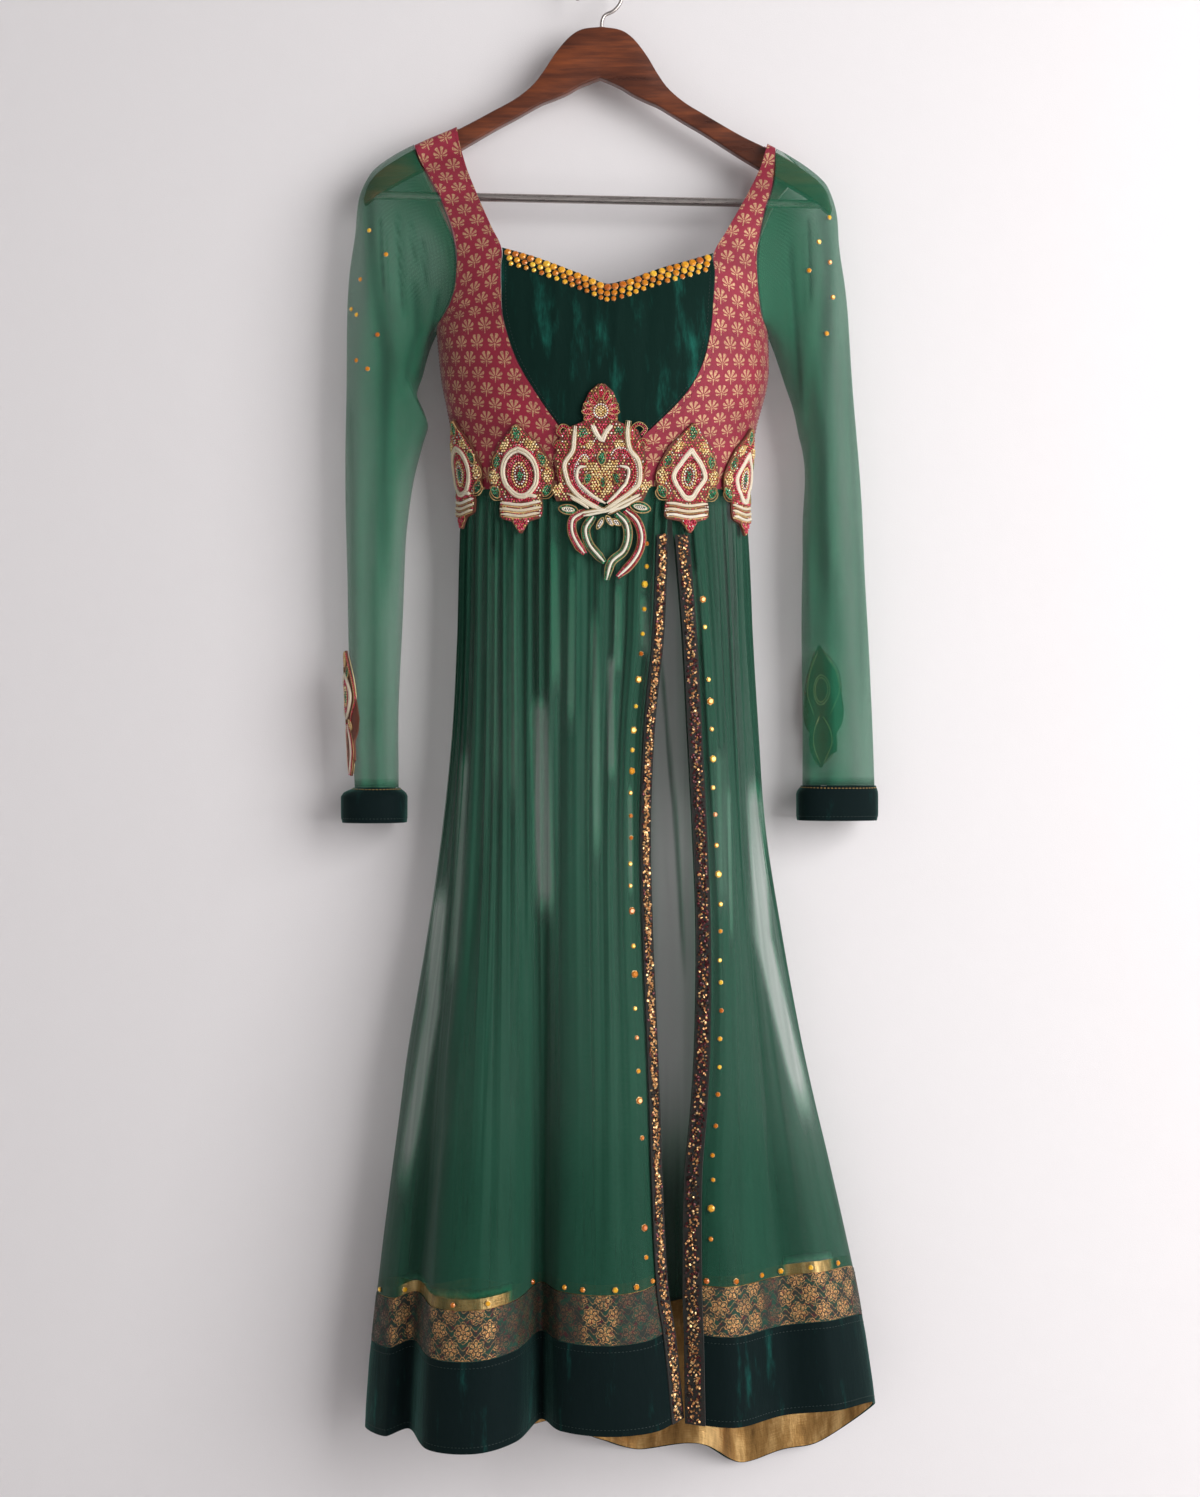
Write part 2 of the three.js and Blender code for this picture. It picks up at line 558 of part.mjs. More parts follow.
// A point of the bodice's ring. angle is in radians: 0 right side, PI/2 front, PI left side, 3PI/2 back.
function bodice(angle, z) {
  const ring = (column) => read(BODICE_RINGS, "z", column, z);
  const power = 2 / ring("square");
  const reach = sin(angle) > 0 ? ring("front") : ring("back");
  return new THREE.Vector3(
    ring("middle") + ring("half") * sign(cos(angle)) * abs(cos(angle)) ** power,
    -reach * sign(sin(angle)) * abs(sin(angle)) ** power,
    z,
  );
}

// The same ring with its height counted down, which makes its normal point out.
const bodiceDown = (angle, depth) => bodice(angle, -depth);

// The angle of the ring's point with that x, on the front or on the back.
function angleAt(x, z, back) {
  const middle = read(BODICE_RINGS, "z", "middle", z);
  const half = read(BODICE_RINGS, "z", "half", z);
  const square = read(BODICE_RINGS, "z", "square", z);
  const share = max(-1, min(1, (x - middle) / half));
  const angle = Math.acos(sign(share) * abs(share) ** (square / 2));
  return back ? 2 * PI - angle : angle;
}

// A side panel of the bodice with its strap, which ends in a curve over the hanger's arm.
function sidePanel(edges, { back, left, columns }) {
  const sideAngle = left ? PI : back ? 2 * PI : 0;
  const steps = spread(columns);
  const rows = edges.map((edge) => {
    const outer = edge.side ? sideAngle : angleAt(edge.outerX, edge.outerZ, back);
    const inner = angleAt(edge.innerX, edge.innerZ, back);
    const seam = SEAM / 2 / hypot(60, edge.side ? 60 : 200);
    const [from, to] = inner < outer ? [inner + seam, outer - seam] : [inner - seam, outer + seam];
    const places = steps.map((s) => [lerp(from, to, s), -lerp(edge.innerZ, edge.outerZ, s)]);
    return row(bodiceDown, places, 0, BROCADE);
  });
  const [below, top] = rows.slice(-2);
  const over = (name, step, thickness) =>
    top[name].map((p, i) => {
      const crest = crestOf(below[name][i], p);
      const y = sign(p.y) * SEAM * 0.6 + p.y * step.out;
      return new THREE.Vector3(lerp(p.x, crest.x, step.up), y, lerp(p.z, crest.z + thickness, step.up));
    });
  for (const step of STRAP_FOLD.steps) {
    rows.push({ outer: over("outer", step, BROCADE), inner: over("inner", step, 0) });
  }
  return wall(rows);
}

// Where a strap's edge reaches its crest over the board, from its last two points below it.
function crestOf(below, top) {
  const slope = (top.x - below.x) / (top.z - below.z);
  const x = top.x + slope * STRAP_FOLD.lean * (armTop(top.x) - top.z);
  return { x, z: armTop(x) + STRAP_FOLD.rest };
}

function yoke() {
  const columns = spread(12);
  const edge = (table) => table.filter((e) => e.innerZ >= YOKE.bottomZ && e.innerZ <= YOKE.topZ);
  const left = edge(FRONT_LEFT_EDGES);
  const right = edge(FRONT_RIGHT_EDGES);
  const rows = left.map((l, k) => {
    const r = right[k];
    const share = k / (left.length - 1);
    const places = columns.map((c) => {
      const x = lerp(l.innerX + YOKE.seam, r.innerX - YOKE.seam, c);
      const straight = lerp(l.innerZ, r.innerZ, c) + YOKE.seam;
      const top = read(NECKLINE, "x", "z", lerp(NECKLINE[0].x, NECKLINE.at(-1).x, c));
      const dip = share ** 2 * (top - lerp(left.at(-1).innerZ, right.at(-1).innerZ, c));
      const point = (1 - share) ** 4 * YOKE.point * (1 - abs(2 * c - 1));
      const z = straight + dip - point;
      return [angleAt(x, z, false), -z];
    });
    return row(bodiceDown, places, 0, VELVET);
  });
  return wall(rows);
}

// ---- the sleeves --------------------------------------------------------------------------------

const SLEEVES = {
  left: { side: -1, table: LEFT_SLEEVE, front: FRONT_LEFT_EDGES, back: BACK_LEFT_EDGES },
  right: { side: 1, table: RIGHT_SLEEVE, front: FRONT_RIGHT_EDGES, back: BACK_RIGHT_EDGES },
};

// An armhole's two halves as curves from the shoulder to the underarm, just outside the bodice's edge.
function armhole({ side, front, back }) {
  const away = SLEEVE.clearance * side;
  const at = (x, z, isBack) => bodice(angleAt(x, z, isBack), z).add(new THREE.Vector3(away, 0, 0));
  const ends = [front, back].map((edges) => {
    const [below, top] = edges.slice(-2).map((e) => ({ x: e.outerX, z: e.outerZ }));
    return crestOf(below, top).x + away;
  });
  const shoulderX = (ends[0] + ends[1]) / 2;
  const shoulder = new THREE.Vector3(shoulderX, 0, armTop(shoulderX) + SLEEVE.shoulderRise);
  const seam = front.filter((e) => e.side).at(-1);
  const underarm = bodice(side < 0 ? PI : 0, seam.outerZ).add(new THREE.Vector3(1.5 * away, 0, 2));
  const half = (edges, isBack) => {
    const free = edges.filter((e) => !e.side).reverse();
    const crestX = ends[isBack ? 1 : 0];
    const crestY = SLEEVE.shoulderHalf * (isBack ? 1 : -1);
    const crest = new THREE.Vector3(crestX, crestY, armTop(crestX) + SLEEVE.crestRise);
    const down = free.map((e) => at(e.outerX, e.outerZ, isBack));
    return new THREE.CatmullRomCurve3([shoulder, crest, ...down, underarm], false, "centripetal");
  };
  return { front: half(front, false), back: half(back, true) };
}
for (const one of Object.values(SLEEVES)) {
  one.armhole = armhole(one);
}

// A point of a sleeve. turn is in degrees round it, 0 at the outer edge and 90 at the front; along is the
// section, as a number that may lie between two rows.
function sleevePoint(one, turn, along) {
  const numbered = one.table.map((r, i) => ({ ...r, i }));
  const at = (column) => read(numbered, "i", column, along);
  const [c, s] = [cos(degrees(turn)), sin(degrees(turn))];
  const rise = (along / (one.table.length - 1) - SLEEVE.foldStart) / 0.1;
  const softness = THREE.MathUtils.clamp(rise, 0, 1);
  const wave = sin(degrees(turn) * SLEEVE.folds + 0.12 * along) * SLEEVE.foldDepth * softness;
  const reach = (s > 0 ? at("front") : at("back")) + wave;
  const halfX = (at("outerX") - at("innerX")) / 2;
  const halfZ = (at("outerZ") - at("innerZ")) / 2;
  const round = new THREE.Vector3(
    (at("outerX") + at("innerX")) / 2 + halfX * c,
    -reach * sign(s) * abs(s) ** SLEEVE.bluntness,
    (at("outerZ") + at("innerZ")) / 2 + halfZ * c,
  );
  const share = THREE.MathUtils.smoothstep(along, 0, SLEEVE.armholeRows);
  if (share === 1) return round;
  const [half, down] = s > 0 ? ["front", turn / 180] : ["back", (360 - turn) / 180];
  const place = ((down % 2) + 2) % 2;
  return one.armhole[half].getPointAt(place > 1 ? 2 - place : place).lerp(round, share);
}

function sleeve(one) {
  const bunch = (t) => t - (SLEEVE.bunching * sin(4 * PI * t)) / (4 * PI);
  const turns = spread(SLEEVE.around).slice(0, -1).map((t) => (360 * bunch(t)) / TURN);
  const surface = (turn, along) => sleevePoint(one, one.side * turn * TURN, along);
  const rows = one.table.map((_, k) => row(surface, turns.map((t) => [t, k]), 0, NET));
  return wall(rows, true);
}

// The cuff: a velvet band round the sleeve's end, open at a short vent.
function cuff(one, { middle, half, front, back, ventTurn }) {
  const end = one.table.at(-1);
  const surface = (turn, down) => {
    const angle = degrees(one.side * turn * TURN);
    const ease = THREE.MathUtils.smoothstep(down, 0, CUFF.flare);
    const halfX = lerp(abs(end.outerX - end.innerX) / 2, half, ease);
    const reach = sin(angle) > 0 ? lerp(end.front, front, ease) : lerp(end.back, back, ease);
    const x = lerp((end.outerX + end.innerX) / 2, middle, ease) + one.side * halfX * cos(angle);
    const y = -reach * sign(sin(angle)) * abs(sin(angle)) ** SLEEVE.bluntness;
    return new THREE.Vector3(x, y, end.outerZ - SEAM - CUFF.height * down);
  };
  const turns = spread(CUFF.steps).map((t) => CUFF.vent + (1 - 2 * CUFF.vent) * t);
  const places = turns.map((t) => (one.side * ventTurn + 360 * t) / TURN);
  return wall([0, CUFF.flare, 1].map((down) => row(surface, places.map((t) => [t, down]), VELVET, VELVET)));
}

// ---- the skirt ----------------------------------------------------------------------------------

// How far round the waist ring, in radians, a place between the two front edges is.
function waistAngle(around) {
  const { slitAngle, leftSeam, rightSeam } = SKIRT;
  const stops = [
    { around: 0, angle: slitAngle },
    { around: leftSeam, angle: 180 },
    { around: rightSeam, angle: 360 },
    { around: 1, angle: 360 + slitAngle },
  ];
  const i = stops.findIndex((s, k) => k === 2 || around < stops[k + 1].around);
  const [p, q] = [stops[i], stops[i + 1]];
  return degrees(lerp(p.angle, q.angle, (around - p.around) / (q.around - p.around)));
}

// The place between the front edges for an angle round the waist ring, the other way about.
function aroundAt(angle) {
  const { slitAngle, leftSeam, rightSeam } = SKIRT;
  const d = (angle * 180) / PI;
  if (d < slitAngle) return lerp(rightSeam, 1, d / slitAngle);
  if (d < 180) return lerp(0, leftSeam, (d - slitAngle) / (180 - slitAngle));
  return lerp(leftSeam, rightSeam, (d - 180) / 180);
}

// The skirt without its gathers, from the waist (share 0) to the hem (share 1).
function skirtForm(around, share) {
  const hem = (column) => read(HEM_FOLDS, "around", column, around);
  const at = (column) => read(SKIRT_SECTIONS, "share", column, share);
  const waist = bodice(waistAngle(around), WAIST_Z);
  const rightness = (1 + cos(waistAngle(around))) / 2;
  const open = lerp(at("left"), at("right"), rightness);
  const nearStart = exp(-((around / SKIRT.slitSoftness) ** 2));
  const nearEnd = exp(-(((1 - around) / SKIRT.slitSoftness) ** 2));
  return new THREE.Vector3(
    lerp(waist.x, hem("x"), open) + at("slitLeft") * nearStart + at("slitRight") * nearEnd,
    lerp(waist.y, hem("y"), open),
    lerp(WAIST_Z - SEAM, hem("z"), share),
  );
}

// The gathers: an uneven wave whose depth the sections give.
function gather(around, share) {
  const depth = read(SKIRT_SECTIONS, "share", "gather", share);
  const phase = SKIRT.gathers * around + 0.3 * sin(2 * PI * 5 * around) + 0.2 * sin(2 * PI * 13 * around);
  return depth * sin(2 * PI * phase) * (0.8 + 0.2 * sin(2 * PI * 7 * around + 1));
}

function skirt(around, share) {
  const normal = normalOf(skirtForm, around, share);
  return skirtForm(around, share).addScaledVector(normal, gather(around, share));
}

function skirtRow(panel, count, shareAt, lift, thickness) {
  const seam = SEAM / 2 / 1300;
  const [from, to] = [panel.from + (panel.from ? seam : 0), panel.to - (panel.to < 1 ? seam : 0)];
  const places = spread(count).map((s) => {
    const around = lerp(from, to, s);
    return [around, shareAt(around)];
  });
  return row(skirt, places, lift, thickness);
}

// The share of the way to the hem at a height above it.
function shareAbove(height) {
  return (around) => 1 - height / (WAIST_Z - read(HEM_FOLDS, "around", "z", around));
}

function netPanel(panel) {
  const bottom = shareAbove(VELVET_BORDER + BROCADE_BORDER + 2 * HEM_SEAM);
  const rows = NET_ROWS.map((r) =>
    skirtRow(panel, r.fine ? panel.fine : panel.coarse, (a) => bottom(a) * r.share, 0, NET),
  );
  return wall(rows);
}

function brocadeBand(panel) {
  const rows = [VELVET_BORDER + BROCADE_BORDER + HEM_SEAM, VELVET_BORDER + HEM_SEAM].map((height) =>
    skirtRow(panel, panel.coarse, shareAbove(height), 0, BAND),
  );
  return wall(rows);
}

function velvetBand(panel) {
  const rows = [VELVET_BORDER, 0].map((height) =>
    skirtRow(panel, panel.coarse, shareAbove(height), 0, VELVET),
  );
  return wall(rows);
}

function facing(panel) {
  const lift = -VELVET - SEAM;
  const heights = [FACING_HEIGHT, VELVET_BORDER + BROCADE_BORDER + SEAM, VELVET_BORDER, 1];
  return wall(heights.map((h) => skirtRow(panel, panel.coarse, shareAbove(h), lift, FACING)));
}

// The tape over one front edge of the skirt, from the waist to the hem.
function slitTape(atStart) {
  const { width, clearance, rows, from } = SLIT_TAPE;
  const arounds = atStart ? [0.0004, width / 2, width] : [1 - width, 1 - width / 2, 0.9996];
  const shares = spread(rows).map((s) => lerp(from, 1, s));
  const form = shares.map((share) => {
    const lift = min(clearance, 0.9 + read(SKIRT_SECTIONS, "share", "gather", share)) + TAPE;
    return row(skirtForm, arounds.map((a) => [a, share]), lift, TAPE);
  });
  return wall(form);
}

// ---- the appliques ------------------------------------------------------------------------------

// A place round the waist measured along the cloth from an angle: the angle that distance away.
function angleAlong(start, distance, z) {
  const step = degrees(0.5) * -sign(distance);
  let [angle, left] = [start, abs(distance)];
  let here = bodice(angle, z);
  while (left > 0) {
    const next = bodice(angle + step, z);
    const length = here.distanceTo(next);
    if (length >= left) return angle + (step * left) / length;
    [angle, left, here] = [angle + step, left - length, next];
  }
  return angle;
}

// The cloth under an applique: the bodice above the waist seam and the skirt without its gathers below it.
function waistCloth(angle, z) {
  if (z > WAIST_Z) return bodice(angle, z);
  const around = aroundAt((angle + 2 * PI) % (2 * PI));
  const hemZ = read(HEM_FOLDS, "around", "z", around);
  const share = (WAIST_Z - z) / (WAIST_Z - hemZ);
  return skirtForm(around, share);
}

// How far an applique's back stands off that cloth, over the seam and the gathers.
function clearOfCloth(z) {
  const share = max(0, (WAIST_Z - z) / 880);
  const near = exp(-(((z - WAIST_Z) / 12) ** 2));
  return APPLIQUE.gap + 0.8 * near + (z < WAIST_Z ? read(SKIRT_SECTIONS, "share", "gather", share) : 0);
}

// A flat place on an applique, and a height above the cloth, as a point in space.
function onWaist(start, acrossX, z, height) {
  const angle = angleAlong(start, acrossX, max(z, WAIST_Z));
  const base = waistCloth(angle, z);
  const side = waistCloth(angle - degrees(1), z).sub(waistCloth(angle + degrees(1), z));
  const up = waistCloth(angle, z + 1).sub(waistCloth(angle, z - 1));
  const normal = side.cross(up).normalize();
  return base.addScaledVector(normal, clearOfCloth(z) + height);
}

// An applique as a wall: rows from the top down, with the outer points raised in a relief.
function applique(outline, place, relief, columns) {
  const rows = outline.map((line) => {
    const across = spread(columns).map((s) => lerp(-line.left, line.right, s));
    return {
      outer: across.map((x, i) => place(x, line.height, APPLIQUE.thickness + relief(i / columns, line))),
      inner: across.map((x) => place(x, line.height, 0)),
    };
  });
  return wall(rows);
}

// A ring of raised cord round a raised eye.
const medallionRelief = (s, line) => {
  const ring = abs(abs(2 * s - 1) - 0.5) < 0.2 ? 1 : 0.35;
  return line.height > -0.5 ? APPLIQUE.relief * ring : APPLIQUE.relief * 0.7;
};

function medallion(spec) {
  const start = degrees(spec.at);
  const outline = MEDALLION_OUTLINE.map((line) => ({
    height: line.height,
    left: line.half * spec.halfWidth,
    right: line.half * spec.halfWidth,
  }));
  const place = (x, height, out) => {
    const z = spec.z + height * (height > 0 ? spec.up : spec.down);
    return onWaist(start, x, z, out);
  };
  return applique(outline, place, medallionRelief, 6);
}

function centreApplique() {
  const start = degrees(CENTRE_APPLIQUE.at);
  const relief = (s, line) => {
    const cord = abs(abs(2 * s - 1) - 0.75) < 0.15 ? 1 : 0.4;
    return APPLIQUE.relief * (line.height < 30 ? cord : 0.8);
  };
  const place = (x, height, out) => onWaist(start, x, CENTRE_APPLIQUE.z + height, out);
  return applique(CENTRE_OUTLINE, place, relief, 8);
}

// A tail of the central applique: a curved strip below its knot.
function tail(spec) {
  const start = degrees(CENTRE_APPLIQUE.at);
  const path = new THREE.SplineCurve(
    spec.points.map(([x, height]) => new THREE.Vector2(spec.side * x, height)),
  );
  const rows = spread(9).map((s) => {
    const p = path.getPoint(s);
    const along = path.getTangent(s);
    const width = spec.width * (1 - 0.5 * s ** 3);
    const half = new THREE.Vector2(-along.y, along.x).multiplyScalar(spec.side * width);
    const corner = (k) => p.clone().addScaledVector(half, k);
    const put = (k, out) => {
      const c = corner(k);
      return onWaist(start, c.x, CENTRE_APPLIQUE.z + c.y, out - TAIL_DROP);
    };
    return {
      outer: [-1, -0.3, 0.3, 1].map((k) => put(k, APPLIQUE.thickness + (abs(k) < 1 ? APPLIQUE.relief : 0))),
      inner: [-1, -0.3, 0.3, 1].map((k) => put(k, 0)),
    };
  });
  return wall(rows);
}

function wristMotif(spec) {
  const one = SLEEVES[spec.sleeve];
  const heights = one.table.map((r, i) => ({ z: (r.outerZ + r.innerZ) / 2, i }));
  const surface = (turn, depth) => sleevePoint(one, one.side * turn * TURN, read(heights, "z", "i", -depth));
  const outline = MEDALLION_OUTLINE.map((l) => ({ height: l.height, left: l.half, right: l.half }));
  const place = (x, height, out) => {
    const depth = -(spec.z + height * spec.half);
    const turn = (one.side * spec.at + x * WRIST_SPREAD) / TURN;
    const normal = normalOf(surface, turn, depth);
    return surface(turn, depth).addScaledVector(normal, APPLIQUE.gap + 0.6 + out);
  };
  return applique(outline, place, medallionRelief, 4);
}

// ---- assembly -----------------------------------------------------------------------------------

const group = new THREE.Group();

function addPiece(name, geometry, finish, parent = group) {
  const mesh = new THREE.Mesh(geometry, new THREE.MeshStandardMaterial(FINISH[finish]));
  mesh.name = name;
  parent.add(mesh);
}

const hanger = new THREE.Group();
hanger.rotation.y = HANGER.tilt;
const board = new THREE.Group();
board.position.x = HANGER.offset;
hanger.add(board);
group.add(hanger);
addPiece("hanger_wood", hangerWood(), "wood", board);
addPiece("hanger_bar", hangerBar(), "steel", board);
addPiece("hanger_hook", hangerHook(), "steel", hanger);

addPiece("yoke", yoke(), "velvet");
for (const [name, edges, back, left] of [
  ["bodice_front_left", FRONT_LEFT_EDGES, false, true],
  ["bodice_front_right", FRONT_RIGHT_EDGES, false, false],
  ["bodice_back_left", BACK_LEFT_EDGES, true, true],
  ["bodice_back_right", BACK_RIGHT_EDGES, true, false],
]) {
  addPiece(name, sidePanel(edges, { back, left, columns: 6 }), "brocade");
}
for (const [side, one] of Object.entries(SLEEVES)) {
  addPiece("sleeve_" + side, sleeve(one), "net");
  addPiece("cuff_" + side, cuff(one, CUFFS[side]), "velvet");
}
for (const panel of SKIRT_PANELS) {
  addPiece("skirt_" + panel.name, netPanel(panel), "net");
  addPiece("hem_brocade_" + panel.name, brocadeBand(panel), "hemBrocade");
  addPiece("hem_velvet_" + panel.name, velvetBand(panel), "velvet");
}
addPiece("hem_facing_back", facing(SKIRT_PANELS[1]), "gold");
addPiece("slit_tape_left", slitTape(true), "tape");
addPiece("slit_tape_right", slitTape(false), "tape");
for (const spec of MEDALLIONS) {
  addPiece(spec.name, medallion(spec), "applique");
}
addPiece("centre_applique", centreApplique(), "applique");
for (const spec of TAILS) {
  addPiece("centre_tail_" + spec.name, tail(spec), "applique");
}
for (const spec of WRIST_APPLIQUE) {
  addPiece(spec.name, wristMotif(spec), "applique");
}

export default group;
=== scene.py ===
import math

import bmesh
import bpy
import numpy as np
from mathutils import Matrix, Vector


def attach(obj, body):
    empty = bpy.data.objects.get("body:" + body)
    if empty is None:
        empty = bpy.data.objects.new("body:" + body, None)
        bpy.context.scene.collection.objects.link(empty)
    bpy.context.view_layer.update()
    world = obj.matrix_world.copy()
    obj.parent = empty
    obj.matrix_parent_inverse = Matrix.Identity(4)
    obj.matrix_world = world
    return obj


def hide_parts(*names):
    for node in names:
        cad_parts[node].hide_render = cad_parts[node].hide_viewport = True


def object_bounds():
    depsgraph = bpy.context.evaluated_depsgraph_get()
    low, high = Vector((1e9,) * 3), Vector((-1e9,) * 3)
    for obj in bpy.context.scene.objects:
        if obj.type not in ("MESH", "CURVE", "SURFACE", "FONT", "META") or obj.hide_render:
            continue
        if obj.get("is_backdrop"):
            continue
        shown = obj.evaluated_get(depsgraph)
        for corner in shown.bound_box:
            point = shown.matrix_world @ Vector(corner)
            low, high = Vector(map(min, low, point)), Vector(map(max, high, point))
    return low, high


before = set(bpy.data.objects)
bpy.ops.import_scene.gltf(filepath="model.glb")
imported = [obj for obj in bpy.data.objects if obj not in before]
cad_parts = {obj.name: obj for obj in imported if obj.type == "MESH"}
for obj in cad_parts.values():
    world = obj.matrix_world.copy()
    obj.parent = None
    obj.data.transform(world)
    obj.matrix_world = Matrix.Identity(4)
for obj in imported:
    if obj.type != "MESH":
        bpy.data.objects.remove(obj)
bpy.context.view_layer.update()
print("frame loaded")

random = np.random.default_rng(11)
mm = 0.001

# camera and light

shot = {"distance": 2, "height": -0.742, "seenHeight": 1.4296, "sensor": 36.0}
cameraData = bpy.data.cameras.new("camera")
cameraData.sensor_width = shot["sensor"]
cameraData.lens = shot["sensor"] * shot["distance"] / shot["seenHeight"]
camera = bpy.data.objects.new("camera", cameraData)
camera.location = (0, -shot["distance"], shot["height"])
camera.rotation_euler = (math.pi / 2, 0, 0)
bpy.context.scene.collection.objects.link(camera)
bpy.context.scene.camera = camera
bpy.context.scene.view_settings.view_transform = "Standard"
bpy.context.scene.cycles.transparent_max_bounces = 40

studio = {
    "sky": (0.95, 0.93, 0.935), "skyStrength": 0.28,
    "keyPlace": (2.2, -2.1, -0.1), "keyAim": (0.4, 0, -0.8), "keySize": 2.2, "keyPower": 99,
    "fillPlace": (-1.9, -2.4, -0.3), "fillAim": (0, 0, -0.7), "fillSize": 2.2, "fillPower": 4,
    "backPlace": (0.6, 2.6, 0.3), "backAim": (0, 0, -0.8), "backSize": 2.2, "backPower": 24,
    "wallY": 0.031, "wallTop": 1.6, "floorZ": -1.62,
}


def areaLight(name):
    data = bpy.data.lights.new(name, "AREA")
    data.size = studio[name + "Size"]
    data.energy = studio[name + "Power"]
    lamp = bpy.data.objects.new(name, data)
    lamp.location = studio[name + "Place"]
    away = Vector(studio[name + "Place"]) - Vector(studio[name + "Aim"])
    lamp.rotation_euler = away.to_track_quat("Z", "Y").to_euler()
    bpy.context.scene.collection.objects.link(lamp)


for lampName in ("key", "fill", "back"):
    areaLight(lampName)
world = bpy.data.worlds.new("sky")
world.use_nodes = True
world.node_tree.nodes["Background"].inputs["Color"].default_value = (*studio["sky"], 1)
world.node_tree.nodes["Background"].inputs["Strength"].default_value = studio["skyStrength"]
bpy.context.scene.world = world

# node helpers: a Value is what a node gives out, and sums of Values make Math nodes


class Value:
    def __init__(self, socket):
        self.socket, self.tree = socket, socket.id_data


for method, operation in (
    ("add", "ADD"), ("sub", "SUBTRACT"), ("mul", "MULTIPLY"), ("truediv", "DIVIDE"), ("lt", "LESS_THAN"),
    ("gt", "GREATER_THAN"), ("abs", "ABSOLUTE"),
):
    setattr(Value, f"__{method}__", lambda self, *other, operation=operation: calc(operation, self, *other))


def feed(socket, value):
    if isinstance(value, Value):
        value.tree.links.new(value.socket, socket)
    else:
        socket.default_value = (*value, 1) if socket.type == "RGBA" else value


def node(tree, kind, inputs, output=0, **settings):
    made = tree.nodes.new(kind)
    for key, value in settings.items():
        setattr(made, key, value)
    for key, value in inputs.items():
        feed(made.inputs[key], value)
    return Value(made.outputs[output])


def outputsOf(value):
    return {socket.name: Value(socket) for socket in value.socket.node.outputs}


def calc(operation, *values, clamp=False):
    tree = next(value.tree for value in values if isinstance(value, Value))
    return node(tree, "ShaderNodeMath", dict(enumerate(values)), operation=operation, use_clamp=clamp)


def split(vector):
    return outputsOf(node(vector.tree, "ShaderNodeSeparateXYZ", {"Vector": vector})).values()


def mixed(share, first, second):
    return node(share.tree, "ShaderNodeMix", {0: share, 6: first, 7: second}, 2, data_type="RGBA")


def noise(vector, scale, detail=2, rough=0.5, stretch=(1, 1, 1)):
    place = node(vector.tree, "ShaderNodeMapping", {"Vector": vector, "Scale": stretch})
    return node(vector.tree, "ShaderNodeTexNoise", {
        "Vector": place, "Scale": scale, "Detail": detail, "Roughness": rough,
    }, "Fac")


def ramped(value, low, high, bottom=0, top=1):
    return node(value.tree, "ShaderNodeMapRange", {
        "Value": value, "From Min": low, "From Max": high, "To Min": bottom, "To Max": top,
    }, interpolation_type="SMOOTHSTEP")


def rampColors(value, stopsOf):
    made = node(value.tree, "ShaderNodeValToRGB", {"Fac": value}, "Color")
    elements = made.socket.node.color_ramp.elements
    for i, (place, color) in enumerate(stopsOf):
        stop = elements[i] if i < 2 else elements.new(place)
        stop.position, stop.color = place, (*color, 1)
    return made


def bumped(height, strength, distance):
    return node(height.tree, "ShaderNodeBump", {"Height": height, "Strength": strength, "Distance": distance})


def clothUv(tree):
    return node(tree, "ShaderNodeUVMap", {}, uv_map="cloth")


def ownPlace(tree):
    return node(tree, "ShaderNodeTexCoord", {}, "Object")


def attribute(tree, name):
    return node(tree, "ShaderNodeAttribute", {}, "Fac", attribute_name=name)


socketNames = {
    "baseColor": "Base Color", "sheen": "Sheen Weight", "sheenRoughness": "Sheen Roughness",
    "sheenTint": "Sheen Tint", "coat": "Coat Weight", "coatRoughness": "Coat Roughness",
    "specular": "Specular IOR Level",
}


def dress(surface, **values):
    for key, value in values.items():
        feed(surface.inputs[socketNames.get(key, key.capitalize())], value)


def newMaterial(name, **values):
    made = bpy.data.materials.new(name)
    made.use_nodes = True
    surface = made.node_tree.nodes["Principled BSDF"]
    dress(surface, **values)
    return made, made.node_tree, surface


# a node group that reads a place and one number
def group(name, label, value, outputs):
    tree = bpy.data.node_groups.new(name, "ShaderNodeTree")
    tree.interface.new_socket("Vector", in_out="INPUT", socket_type="NodeSocketVector")
    tree.interface.new_socket(label, in_out="INPUT", socket_type="NodeSocketFloat").default_value = value
    for output in outputs:
        tree.interface.new_socket(output, in_out="OUTPUT", socket_type="NodeSocketFloat")
    read = tree.nodes.new("NodeGroupInput").outputs
    x, y, _ = split(Value(read["Vector"]))
    return tree, x, y, Value(read[label]), tree.nodes.new("NodeGroupOutput").inputs


# threads crossing at a pitch: Height rises on each thread, Holes is 1 in the gaps
weave, x, y, pitch, given = group("threads", "Pitch", 0.0006, ["Height", "Holes"])
warp, weft = (calc("SINE", place / pitch * (2 * math.pi)) for place in (x, y))
feed(given["Height"], warp * weft)
feed(given["Holes"], ramped(warp + weft, -0.4, 1.4))

# mesh helpers


